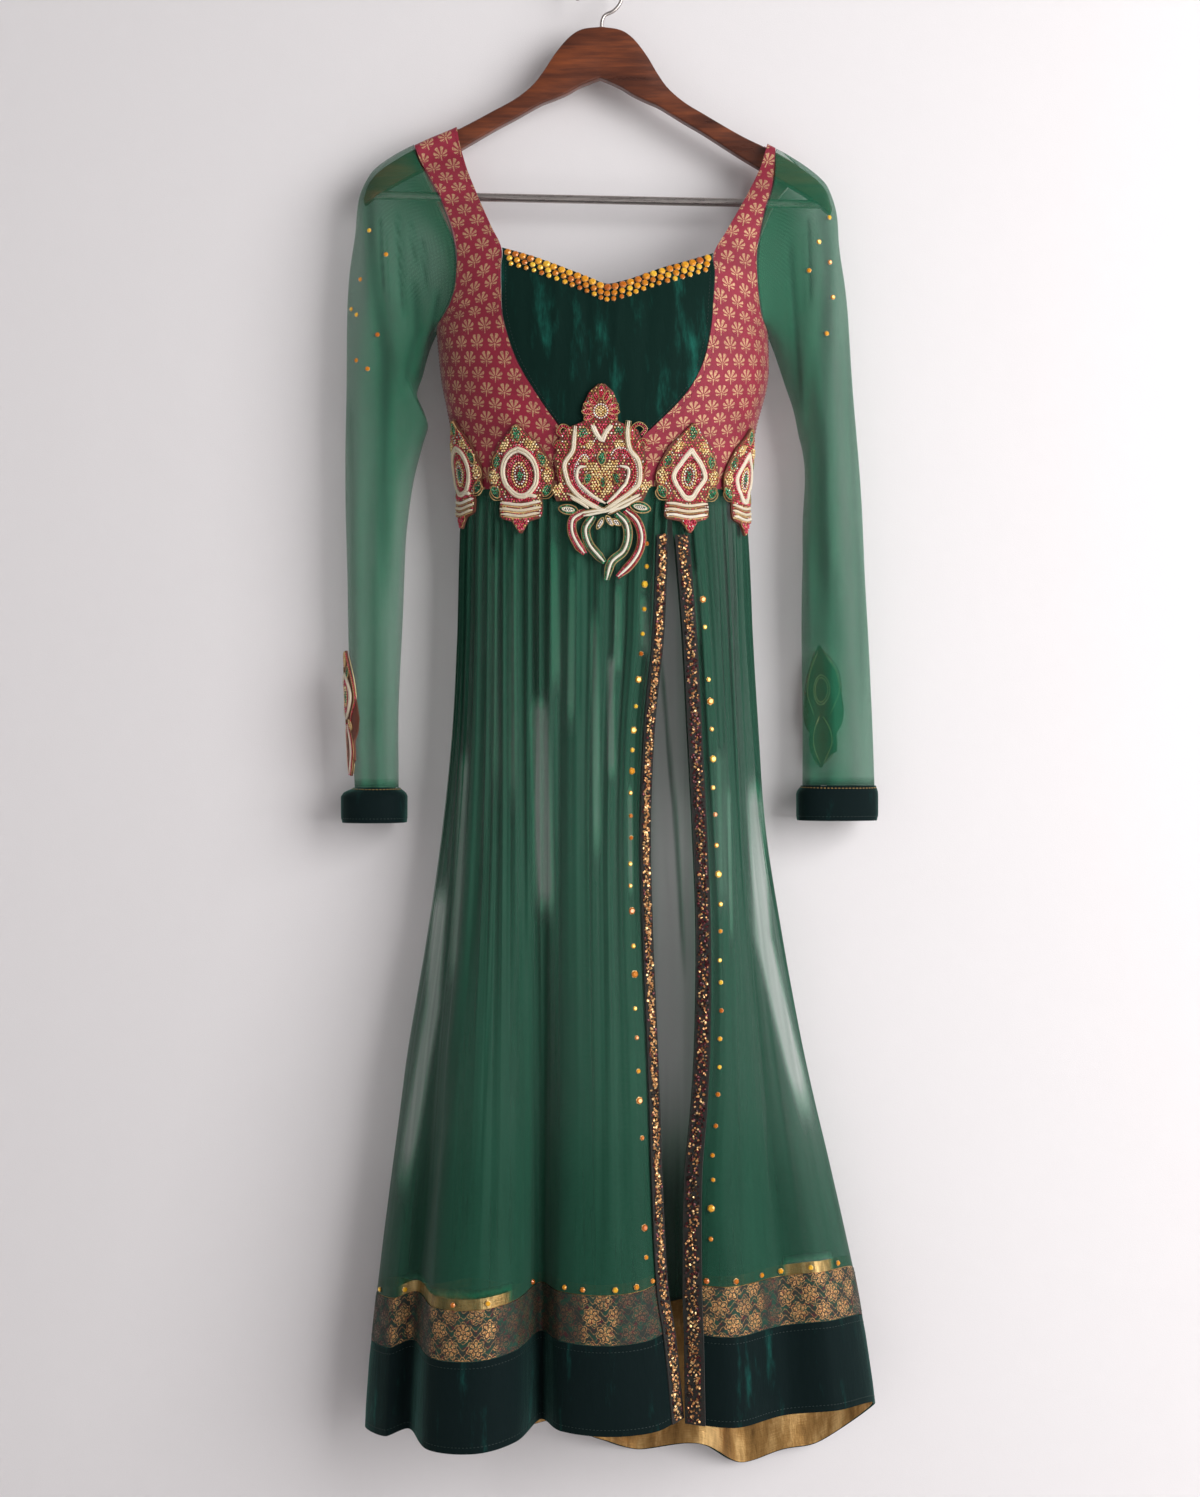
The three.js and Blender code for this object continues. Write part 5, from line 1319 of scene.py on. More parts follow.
# a worked material: each thread, bead or stone has its tone
def toned(name, colors, metallic, roughness, coat=0, bump=0):
    made, tree, surface = newMaterial(name, metallic=metallic, coat=coat, coatRoughness=0.12)
    speck = noise(ownPlace(tree), 2600, 2, 0.6)
    stopsOf = [(i / (len(colors) - 1), srgb(*color)) for i, color in enumerate(colors)]
    dress(
        surface, baseColor=rampColors(attribute(tree, "tone"), stopsOf),
        roughness=ramped(speck, 0.2, 0.8, roughness * 0.75, roughness * 1.3),
    )
    if bump:
        u, v, _ = split(clothUv(tree))
        twist = calc("SINE", (u / 0.0011 + v) * (2 * math.pi))
        dress(surface, normal=bumped(twist, bump, 0.00025))
    return made


thread = {
    "ground": toned("zari_ground", [(74, 34, 32), (150, 88, 62)], 0.2, 0.55, bump=0.6),
    "cream": toned("cream_cord", [(236, 220, 190), (252, 244, 226)], 0, 0.5, bump=0.8),
    "goldCord": toned("gold_cord", [(168, 124, 78), (226, 190, 132)], 0.6, 0.38, bump=0.9),
    "red": toned("red_beads", [(140, 8, 34), (200, 22, 54), (224, 84, 116)], 0.1, 0.2, 0.6),
    "green": toned("green_beads", [(4, 66, 40), (12, 120, 74), (60, 170, 120)], 0.15, 0.18, 0.6),
    "gold": toned("gold_beads", [(220, 176, 98), (252, 232, 176)], 0.3, 0.22, 0.5),
    "silver": toned("silver_beads", [(214, 200, 190), (250, 244, 236)], 0.5, 0.2, 0.5),
    "stone": toned("amber_stone", [(196, 96, 4), (240, 158, 8), (255, 206, 60)], 0.2, 0.1, 0.9),
    "sequin": toned("sequins", [
        (50, 14, 22), (98, 32, 38), (20, 20, 18), (164, 104, 62), (216, 160, 100), (244, 204, 146),
    ], 0.45, 0.28),
    "stitch": toned("stitches", [(8, 34, 30), (112, 16, 40), (206, 160, 92)], 0.1, 0.5, bump=0.5),
}
threadNames = list(thread)


# a small shape of rings, closed below, and above by its last ring or a tip
def small(rings, sidesOf, tip=None):
    turns = [2 * math.pi * i / sidesOf for i in range(sidesOf)]
    points = [(radius * math.cos(t), radius * math.sin(t), height) for radius, height in rings for t in turns]
    pairs = [(i, (i + 1) % sidesOf) for i in range(sidesOf)]
    rows = [k * sidesOf for k in range(len(rings))]
    faces = [(a + i, a + j, b + j, b + i) for a, b in zip(rows, rows[1:]) for i, j in pairs]
    if tip is None:
        faces.append(tuple(range(rows[-1], rows[-1] + sidesOf)))
    else:
        faces += [(rows[-1] + i, rows[-1] + j, len(points)) for i, j in pairs]
        points.append((0, 0, tip))
    faces.append(tuple(range(sidesOf))[::-1])
    return np.array(points), faces


halfUp = math.sqrt(0.5)
beadShape = small([(1, 0), (halfUp, 0.8 * halfUp)], 6, 0.8)
sequinShape = small([(1, 0)], 6, 0.22)
stoneShape = small([(0.82, 0), (1, 0.22), (0.62, 0.62)], 8)


# many copies of one small shape, each on its own place and facing its own way
def strewn(places, facing, size, shape, tilt=0, tone=None):
    base, faces = shape
    count = len(places)
    size = np.broadcast_to(size, count)
    facing = unit(facing + tilt * random.normal(size=(count, 3)))
    side = unit(np.cross(np.where(np.abs(facing[:, 2:3]) < 0.9, [[0, 0, 1]], [[1, 0, 0]]), facing))
    up = np.cross(facing, side)
    turned = random.uniform(0, 2 * np.pi, count)[:, None]
    side, up = np.cos(turned) * side + np.sin(turned) * up, np.cos(turned) * up - np.sin(turned) * side
    axes = np.stack([side, up, facing], 1)
    points = places[:, None] + np.einsum("pk,nkx->npx", base, axes) * size[:, None, None]
    made = [tuple(v + i * len(base) for v in face) for i in range(count) for face in faces]
    tone = np.repeat(random.uniform(0, 1, count) if tone is None else tone, len(base))
    return points.reshape(-1, 3), made, tone


class Work:
    def __init__(self, place):
        self.place, self.bits = place, []

    def add(self, points, faces, tone, material, uv=None):
        uv = np.zeros((len(points), 2)) if uv is None else uv
        self.bits.append((points, faces, np.broadcast_to(tone, len(points)), threadNames.index(material), uv))

    def beads(self, flat, material, size=1.1, out=3, shape=None, tilt=0.12, tone=None):
        flat = np.asarray(flat, float).reshape(-1, 2)
        if len(flat):
            places, facing = self.place(flat[:, 0], flat[:, 1], out)
            points, faces, tone = strewn(places, facing, size, shape or beadShape, tilt, tone)
            self.add(points, faces, tone, material)

    def cord(self, flat, radius, material, out=3, sidesOf=8, taper=True, closed=False):
        flat = np.asarray(flat, float)
        path, facing = self.place(flat[:, 0], flat[:, 1], out)
        share = shares(len(flat))
        thin = np.clip(np.minimum(share, 1 - share) * 9, 0.25, 1) ** 0.5
        thin = np.ones(len(flat)) if closed or not taper else thin
        steps = np.arange(sidesOf)[None, :] / sidesOf
        uv = np.stack(np.broadcast_arrays(runAlong(path)[:, None] * mm, steps), -1).reshape(-1, 2)
        points, faces = cappedTube(tube(path, radius * thin, sidesOf, facing))
        if closed:
            a = np.arange(len(points)).reshape(-1, sidesOf)
            b, c = np.roll(a, -1, 1), np.roll(a, -1, 0)
            faces = np.stack([a, b, np.roll(b, -1, 0), c], -1).reshape(-1, 4).tolist()
        self.add(points, faces, random.uniform(0, 1), material, uv)

    def band(self, flat, half, material, out):
        path, facing = self.place(flat[:, 0], flat[:, 1], out)
        share = shares(len(flat))
        thin = np.clip(np.minimum(share, 1 - share) * 6, 0.15, 1) ** 0.6
        points, faces = cappedTube(tube(path, half * thin, 10, facing, 0.35))
        self.add(points, faces, 0.5, material, np.stack([points[:, 2], points[:, 0]], -1) * mm)

    # beads along a line, or all round a shape
    def line(self, flat, pitch, material, size=0.95, out=3, closed=False):
        self.beads(evenly(flat, pitch, closed), material, size, out)

    # beads all over a shape
    def fill(self, shape, pitch, material, size=1, out=3):
        self.beads(filled(shape, pitch), material, size, out)

    # a leaf of beads with a cord round it
    def leaf(self, x, h, angle, length, width, inside="green", edge="goldCord", out=3.2):
        turn = np.linspace(0, 2 * np.pi, 22, endpoint=False)
        wide = width / 2 * np.sin(turn) * np.abs(np.sin(turn)) ** 0.25
        shape = np.stack([wide, length / 2 * np.cos(turn)], -1)
        c, s = math.cos(math.radians(angle)), math.sin(math.radians(angle))
        shape = shape @ np.array([[c, s], [-s, c]]) + (x, h)
        self.cord(shape, 0.55, edge, out, 6, closed=True)
        self.fill(shape * 0.82 + np.array([x, h]) * 0.18, 1.55, inside, 0.95, out - 0.1)

    def piece(self, name, base=None):
        bits = ([] if base is None else [base]) + self.bits
        faces, slots, start = [], [], 0
        for place, made, _, slot, _ in bits:
            faces += [tuple(int(v) + start for v in face) for face in made]
            slots += [slot] * len(made)
            start += len(place)
        points, tones, uvs = (np.concatenate([bit[k] for bit in bits]) for k in (0, 2, 4))
        built = makeMesh(name, points * mm, faces, uvs, {"tone": tones}, sharp=45)
        used = sorted(set(slots))
        for slot in used:
            built.data.materials.append(thread[threadNames[slot]])
        renumbered = {slot: i for i, slot in enumerate(used)}
        built.data.polygons.foreach_set("material_index", [renumbered[slot] for slot in slots])
        return turnedOut(built)


def evenly(flat, pitch, closed=False):
    flat = np.asarray(flat, float)
    if closed:
        flat = np.concatenate([flat, flat[:1]])
    run = runAlong(flat)
    count = max(2, int(round(run[-1] / pitch / motif["spread"])) + 1)
    at = np.linspace(0, run[-1], count)
    made = np.stack([np.interp(at, run, flat[:, k]) for k in range(2)], -1)
    return made[:-1] if closed else made


def inside(points, polygon):
    x, y = points[:, 0], points[:, 1]
    hit = np.zeros(len(points), bool)
    for (ax, ay), (bx, by) in zip(polygon, np.roll(polygon, -1, 0)):
        crosses = (ay > y) != (by > y)
        with np.errstate(divide="ignore", invalid="ignore"):
            hit ^= crosses & (x < (bx - ax) * (y - ay) / (by - ay) + ax)
    return hit


def filled(polygon, pitch):
    low, high = polygon.min(0), polygon.max(0)
    pitch = pitch * motif["spread"]
    rows = np.arange(low[1] + pitch * 0.3, high[1], pitch * 0.87)
    across = np.arange(low[0], high[0], pitch)
    spots = [(x + (k % 2) * pitch / 2, y) for k, y in enumerate(rows) for x in across]
    spots = np.array(spots).reshape(-1, 2)
    spots = spots + random.normal(0, 0.06 * pitch, spots.shape)
    return spots[inside(spots, polygon)]


def bow(points, count=40):
    return curveThrough([(x, h, 0) for x, h in points])(shares(count))[:, :2]


def ring(cx, cy, rx, ry, count=40, pointed=0):
    t = np.linspace(0, 2 * np.pi, count, endpoint=False)
    x, y = np.sin(t), np.cos(t)
    narrow = 1 - pointed * (1 - np.abs(x)) * np.abs(x) * 1.2
    return np.stack([cx + rx * x * narrow, cy + ry * y], -1)


# the waist's motifs lie on the bodice above the seam, and on the skirt's form without its gathers below
motif = {"gap": 0.8, "thickness": 2.2, "relief": 2.2, "spread": 1.25}


def waistCloth(angle, z):
    around = aroundAt(angle % (2 * np.pi))
    share = (waistZ - z) / skirtLength(around)
    above = bodice(angle, np.maximum(z, waistZ))
    below = skirtForm(around, np.maximum(share, 0))
    return np.where((z > waistZ)[..., None], above, below)


def angleAlong(start, x, z):
    made = np.empty(np.shape(x))
    turns = start + np.radians(np.linspace(75, -75, 301))
    for i, (distance, height) in enumerate(zip(np.ravel(x), np.ravel(z))):
        points = bodice(turns, np.full(turns.shape, height))
        run = runAlong(points)
        made.flat[i] = np.interp(distance, run - np.interp(150, np.arange(301), run), turns)
    return made


def onWaist(start, x, z, height):
    x, z, height = np.broadcast_arrays(x, z, height)
    angle = angleAlong(start, x, np.maximum(z, waistZ))
    degree = math.radians(1)
    side = waistCloth(angle - degree, z) - waistCloth(angle + degree, z)
    up = waistCloth(angle, z + 1) - waistCloth(angle, z - 1)
    out = unit(np.cross(side, up))
    gathered = readAt(skirtSections, "share", "gather", np.maximum(0, (waistZ - z) / 880))
    clear = motif["gap"] + 0.8 * np.exp(-(((z - waistZ) / 12) ** 2))
    clear = clear + np.where(z < waistZ, gathered, 0)
    return waistCloth(angle, z) + out * (clear + height)[..., None], out


def patch(place, outline, columns, relief):
    rows, count = len(outline), columns + 1
    s, h = shares(count), np.repeat(outline[:, 0], count)
    x = (-outline[:, 1:2] + (outline[:, 1:2] + outline[:, 2:3]) * s).ravel()
    edge = np.tile(1 - np.abs(2 * s - 1) ** 6, rows)
    points = np.concatenate([place(x, h, out)[0] for out in (motif["thickness"] + relief * edge, 0)])
    uv = np.concatenate([np.stack([h, x], -1)] * 2) * mm
    return points, wallFaces(rows, count).tolist(), np.full(len(uv), 0.4), threadNames.index("ground"), uv


medallionOutline = table("height half", [
    (-1, 0.04), (-0.82, 0.24), (-0.76, 0.62), (-0.56, 0.64), (-0.46, 0.6), (-0.3, 0.9), (-0.08, 1),
    (0.2, 0.88), (0.52, 0.66), (0.78, 0.3), (1, 0.04),
])
print("embroidery tools ready")


# small beads over the whole ground of a motif, under what is worked on it
def grounded(work, outline, pitch=2.15):
    heights, left, right = outline.T
    shape = np.concatenate([np.stack([-left, heights], -1), np.stack([right, heights], -1)[::-1]])
    spots = filled(shape * (0.96, 0.985), pitch)
    choice = random.uniform(0, 1, len(spots))
    for material, low, high in (("red", 0, 0.6), ("gold", 0.6, 0.9), ("silver", 0.9, 1.01)):
        work.beads(spots[(choice >= low) & (choice < high)], material, 0.98, 2.75)


# the outline of a medallion's cords, rounded and pointed
ogees = (
    [
        (0.5, 18.5), (-7, 15.5), (-13, 9), (-16, -1), (-14.5, -11), (-9, -19.5), (-2, -24.5), (5, -24.5),
        (11, -19), (15, -11), (16, -1), (13, 9), (7, 15.5), (0.5, 18.5),
    ],
    [
        (0, 19), (-4, 14), (-9.5, 6), (-14, -1), (-15, -6), (-11.5, -13), (-8, -19), (-3, -25.5),
        (3, -25.5), (8, -19), (12, -13), (16, -6), (14, 1), (9.5, 8), (4, 14), (0, 19),
    ],
)


def workMedallion(work, halfWidth, up, diamond):
    k = halfWidth / 32

    def at(points):
        return [(x * k, h) for x, h in points]

    centre = -5.0
    work.fill(ring(0, centre, 2.7, 5.7, 20), 1.7, "green", 1, 4)
    for rx, ry, material, size in ((4.6, 8, "silver", 1), (6.7, 11.2, "gold", 1.1)):
        work.line(ring(0, centre, rx * k, ry, 60), 2.1, material, size, 3.9, True)
    pointy = 0.35 if diamond else 0.05
    for rx, ry in ((9.2, 14.6), (11, 17.2)):
        work.line(ring(0, centre, rx * k, ry, 80, pointy), 1.75, "red", 0.95, 3.7, True)
    ogee = ogees[diamond]
    if not diamond:
        work.cord(bow(at([(3, -24.8), (9, -24.4), (15, -25.6)]), 16), 1.7, "cream", 4)
    for radius, shift, out in ((1.5, 1.05, 4), (1.35, 0.93, 4.1)):
        scaled = [(x * shift, (h + 5) * shift - 5) for x, h in ogee]
        work.cord(bow(at(scaled), 90), radius, "cream", out, 8, False)
    for part in (ogee[:7], ogee[-7:]):
        work.line(bow(at([(x * 1.17, (h + 5) * 1.15 - 5) for x, h in part]), 60), 1.8, "red", 1.1, 3.6)
    work.line(bow(at([(-13, -27), (0, -28.2), (15, -27)]), 20), 1.8, "red", 1.1, 3.4)
    # leaves and clusters round it
    top = up - 8.5
    work.leaf(0, top, 0, 15, 8.5)
    for side in (-1, 1):
        work.leaf(side * 21.5 * k, 8.5, side * 14, 13.5, 7.8)
        work.leaf(side * 24.5 * k, -19.5, -side * 28, 13.5, 8)
        for cx, cy, rx, ry, tilt in ((12.5, 21.5, 5.6, 3.8, 38), (25.2, -5.5, 3.8, 6.2, 10)):
            turn = math.radians(-side * tilt)
            c, s = math.cos(turn), math.sin(turn)
            oval = ring(0, 0, rx, ry, 24) @ np.array([[c, s], [-s, c]]) + (side * cx * k, cy)
            work.fill(oval, 2.05, "gold", 1.2, 3.5)
            work.cord(np.concatenate([oval, oval[:1]]), 0.45, "goldCord", 2.9, 5, False)
        edge = bow([(side * x * k, h) for x, h in [
            (2, up - 1), (6.5, up - 9), (12, up - 14.5), (19.5, 17), (25.5, 9.5), (25, 2.5), (30.5, -2),
            (30, -10), (25, -12.5), (30.5, -20.5), (26, -27), (18, -27.5),
        ]], 60)
        work.cord(edge, 0.6, "goldCord", 2.6, 6)
    # the stepped foot of wavy cords, and the drop
    for h, half in ((-31.5, 19), (-36.8, 19.5), (-42, 18)):
        wave = [(x * k, h - 2.2 * math.cos(x / half * math.pi) * 0.55) for x in np.linspace(-half, half, 14)]
        work.cord(bow(wave, 40), 1.35, "cream", 3.3, 8)
        work.cord(bow([(x, y - 2.3) for x, y in wave], 40), 0.7, "goldCord", 3, 6)
    for dx, dy, r in ((-3.3, -48, 2.9), (3.3, -48, 2.9), (0, -52.5, 3.2)):
        work.fill(ring(dx * k, dy, r, r, 16), 1.8, "red", 1.1, 3.4)
        work.cord(ring(dx * k, dy, r + 0.5, r + 0.5, 20), 0.45, "goldCord", 2.9, 5, closed=True)


medallions = [
    ("medallion_side_left", 161, -478, 29, 45, 57, False), ("medallion_left", 120.5, -484, 32, 41, 59, False),
    ("medallion_right", 58.5, -485, 31, 43, 58, True), ("medallion_side_right", 20, -484, 28, 43, 58, True),
]
for name, at, z, halfWidth, up, down, diamond in medallions:
    start = math.radians(at)

    def place(x, h, out, start=start, z=z):
        return onWaist(start, x, z + np.asarray(h), out)

    heights = np.linspace(-1, 1, 45)
    half = np.interp(heights, medallionOutline["height"], medallionOutline["half"]) * halfWidth
    outline = np.stack([np.where(heights > 0, heights * up, heights * down), half, half], -1)
    work = Work(place)
    grounded(work, outline)
    workMedallion(work, halfWidth, up, diamond)
    fitted(work.piece("worked_" + name, patch(place, outline, 16, 0.6)), "applique", name)
print("medallions ready")

# the big motif in the middle, and its two pairs of crossing tails
centre = {"at": 90.6, "z": -466}
centreOutline = table("height left right", [
    (-48, 40, 40), (-38, 44, 44), (-29, 37, 37), (-14, 42, 42), (2, 40, 40), (17, 34, 34), (24, 15, 15),
    (36, 17, 17), (50, 11, 11), (57, 3, 3),
])


def onCentre(x, h, out):
    return onWaist(math.radians(centre["at"]), x, centre["z"] + np.asarray(h), out)


def offsetLine(flat, distance):
    ahead = unit(np.gradient(np.asarray(flat, float), axis=0))
    return flat + distance * np.stack([-ahead[:, 1], ahead[:, 0]], -1)


# a cream cord on a gold bed, between two lines of beads
def strand(work, points, color, half, out, cream):
    line = bow(points, 60)
    work.band(line, half + 1.1, "ground", out - 1.2)
    work.cord(line, cream, "cream", out + 0.4)
    for side in (-1, 1):
        taper = np.interp(shares(60), [0, 0.12, 0.85, 1], [0.75, 1, 1, 0.55])[:, None]
        work.line(blend(line, offsetLine(line, side * half), taper), 1.75, color, out=out + 0.2)
        work.cord(blend(line, offsetLine(line, side * (half + 1.3)), taper), 0.45, "goldCord", out - 0.5, 5)


work = Work(onCentre)
# bud
for angle in (-118, -92, -66, -40, 40, 66, 92, 118):
    t = math.radians(angle)
    work.leaf(11.2 * math.sin(t), 33 + 9.6 * math.cos(t), -angle, 12, 5.2, "red")
for angle in (-20, 20):
    t = math.radians(angle)
    work.leaf(14 * math.sin(t), 33 + 13.5 * math.cos(t), -angle * 0.8, 11, 5, "red")
work.leaf(0, 50.5, 0, 13, 5.4, "red")
for radius, count in ((0.1, 1), (2.1, 6), (4.2, 12), (6.2, 17)):
    t = np.linspace(0, 2 * np.pi, count, endpoint=False)
    spots = np.stack([radius * np.sin(t), 33 + radius * np.cos(t)], -1)
    work.beads(spots, "gold" if radius < 5 else "silver", 1.05, 4)
# the pale V under the bud
for side in (-1, 1):
    for shift in (-0.9, 0.9):
        arm = [(1.8 + shift * 0.6, 6), (side * 3.6 + shift, 12.5), (1.2 + side * 8.6 + shift, 20.5)]
        work.cord(bow(arm, 24), 1.5, "cream", 3.4)
work.fill(np.array([(-4.5, 22), (6.5, 22), (1.5, 12.5)]), 1.8, "red", 1, 3.2)
# outer and inner cords with the red band between them
outerLeft = [
    (-22.8, 20), (-24, 6.4), (-25, -1.6), (-32.5, -13.7), (-31.5, -23.2), (-27.5, -33.9), (-20, -43.3),
    (-9.4, -50.7), (4.1, -57.4),
]
outerRight = [
    (25.6, 24.6), (24.3, 13.2), (27, -1.6), (33.7, -9.7), (36, -20.5), (34.4, -32.6), (27, -40.6),
    (16.2, -48.7), (4.1, -57.4),
]
heartLeft = [
    (-12.6, -16.2), (-19.5, -17.2), (-21.5, -25.8), (-17.4, -33.9), (-5.3, -44.7), (5.2, -50.7),
]
heartRight = [
    (17.5, -15.4), (25.2, -18.4), (23.4, -29.9), (14.9, -42), (6.4, -50.4),
]
bandLeft = [
    (-8.7, -7.5), (-12, -3.4), (-17.4, -3.6), (-24, -12), (-26.4, -21.8), (-22, -36), (-13, -44.5),
    (-2, -51),
]
bandRight = [
    (12.2, -7), (15, -3), (21.6, -3), (29.4, -14), (30.6, -25.8), (27, -34), (19, -42.5), (9, -51),
]
for outer, heart, middle in ((outerLeft, heartLeft, bandLeft), (outerRight, heartRight, bandRight)):
    for shift in (-0.75, 0.75):
        work.cord(offsetLine(bow(outer, 90), shift), 1.2, "cream", 4)
    for shift in (2.3, -2.3):
        work.cord(offsetLine(bow(outer, 90), shift), 0.5, "goldCord", 3.2, 6)
    work.cord(bow(heart, 70), 1.5, "cream", 4)
    for shift, color in ((-1.1, "red"), (1.1, "red"), (2.7, "silver")):
        work.line(offsetLine(bow(middle, 80), shift), 1.75, color, out=3.5)
# inside the heart
work.leaf(1.1, -8.4, 0, 13, 7.5, out=3.8)
heartShape = np.array([
    (-12, -13), (-6, -11), (1, -17), (8, -10), (14.5, -11), (17, -20), (16, -30), (9, -40), (2.5, -45),
    (-6, -38), (-15, -29), (-16, -20),
])
greens = [(-11.2, -26.5, -24, 12, 6), (14.4, -26.8, 26, 12, 6), (2.1, -30.5, 0, 11, 4.6)]
spots = filled(heartShape, 2.15)
for x, h, _, length, width in greens:
    spots = spots[((spots[:, 0] - x) / (width * 0.72)) ** 2 + ((spots[:, 1] - h) / (length * 0.6)) ** 2 > 1]
work.beads(spots, "gold", 1.15, 3.6)
for x, h, angle, length, width in greens:
    work.leaf(x, h, angle, length, width, out=3.6)
# small clusters above the heart
for x, h, r, color in (
    (-16, 14.5, 4.2, "green"), (-16, 6, 3.4, "red"), (-10, 3.2, 3.6, "gold"), (17.5, 15.5, 3.8, "green"),
    (16.9, 3.6, 4, "gold"), (12.5, 8.5, 2.6, "red"), (-8, -2.5, 2.4, "red"), (8.5, -1, 2.2, "red"),
    (21.5, -6.5, 2.2, "silver"), (-14, -9.5, 2.6, "gold"),
):
    work.fill(ring(x, h, r, r, 14), 1.75, color, 0.98, 3.3)
    work.cord(ring(x, h, r + 0.4, r + 0.4, 22), 0.4, "goldCord", 2.8, 5, closed=True)
# scrolls at the sides
for scroll in (
    [(-27.5, 9), (-29.8, 18), (-35, 20), (-38.5, 15), (-35.5, 11.5)],
    [(-31, -6), (-33.5, 3), (-38.5, 5.5), (-41.5, 1)], [(-36, -30), (-37.5, -20), (-35.5, -12), (-40.5, -9)],
    [(28.8, 8), (29.7, 18.5), (35, 21.9), (41, 17.5), (37.5, 12.5)],
    [(33.7, -1.6), (35, 5.1), (39.1, 7.4), (42.5, 3.2)], [(37.6, -28.5), (39.1, -17.8), (42, -12)],
):
    line = bow(scroll, 30)
    work.line(line, 1.75, "red", out=3.2)
    for shift in (-1.5, 1.5):
        work.cord(offsetLine(line, shift), 0.5, "goldCord", 2.9, 5)
for x, h in ((-38.5, -37), (41.5, -34)):
    work.fill(ring(x, h, 4.6, 6, 18), 2, "gold", 1.1, 3.1)
# the crossing under the heart, side leaves and small petals
for points, radius in (
    ([(-26.8, -45.3), (-18, -50), (-10, -55.2)], 1.3), ([(-29, -42), (-17, -48.5), (-5, -55)], 0.9),
    ([(36.4, -42), (21.6, -50), (6, -58.4)], 1.5), ([(38, -44.5), (23, -52.5), (8, -60)], 1),
    ([(-14.7, -62.2), (2.8, -58.6), (21.6, -54), (30, -49)], 1.2),
    ([(-17, -59.5), (-4, -57.5), (6, -56)], 1),
):
    work.cord(bow(points, 36), radius, "cream", 4.2)
    work.cord(offsetLine(bow(points, 36), radius + 0.5), 0.5, "goldCord", 3.4, 5)
for x, h, angle, length, width in ((-29, -56, 82, 18, 9), (37.7, -54, 78, 20, 10)):
    work.leaf(x, h, angle, length, width, "green")
    work.leaf(x, h, angle, length * 0.62, width * 0.42, "silver", "cream", 4)
for x, h, angle, length in ((0.8, -69, -28, 12), (9.5, -66.5, 36, 11), (15.6, -68, 60, 10)):
    work.leaf(x, h, angle, length, 4.6, "silver", "goldCord", 3.6)
heights = np.linspace(-48, 57, 60)
halves = [np.interp(heights, centreOutline["height"], centreOutline[name]) for name in ("left", "right")]
outline = np.stack([heights, *halves], -1)
grounded(work, outline, 2.3)
fitted(work.piece("worked_centre", patch(onCentre, outline, 26, 0.5)), "applique", "centre_applique")

tails = {
    "left": (
        ([(-13.5, -58), (-24.2, -64.8), (-25.3, -75.6), (-20.1, -87.7), (-13.5, -96.5)], "red"),
        ([(-5.5, -62.5), (-12.6, -74), (-9.4, -87.7), (-2, -97), (5.2, -104.5)], "green"),
    ),
    "right": (
        ([(24.3, -56.8), (35, -66.2), (40.2, -79.6), (38.6, -93), (31.5, -105.2), (18.5, -118)], "red"),
        ([(16, -59.5), (25, -68.9), (27.4, -81), (23.4, -94.4), (12.2, -104.5), (7.6, -121)], "green"),
    ),
}
for side, strands in tails.items():
    work = Work(onCentre)
    for points, color in strands:
        strand(work, points, color, 2.6, 2.6, 1.25)
    fitted(work.piece("worked_tail_" + side), "applique", "centre_tail_" + side)
print("centre ready")

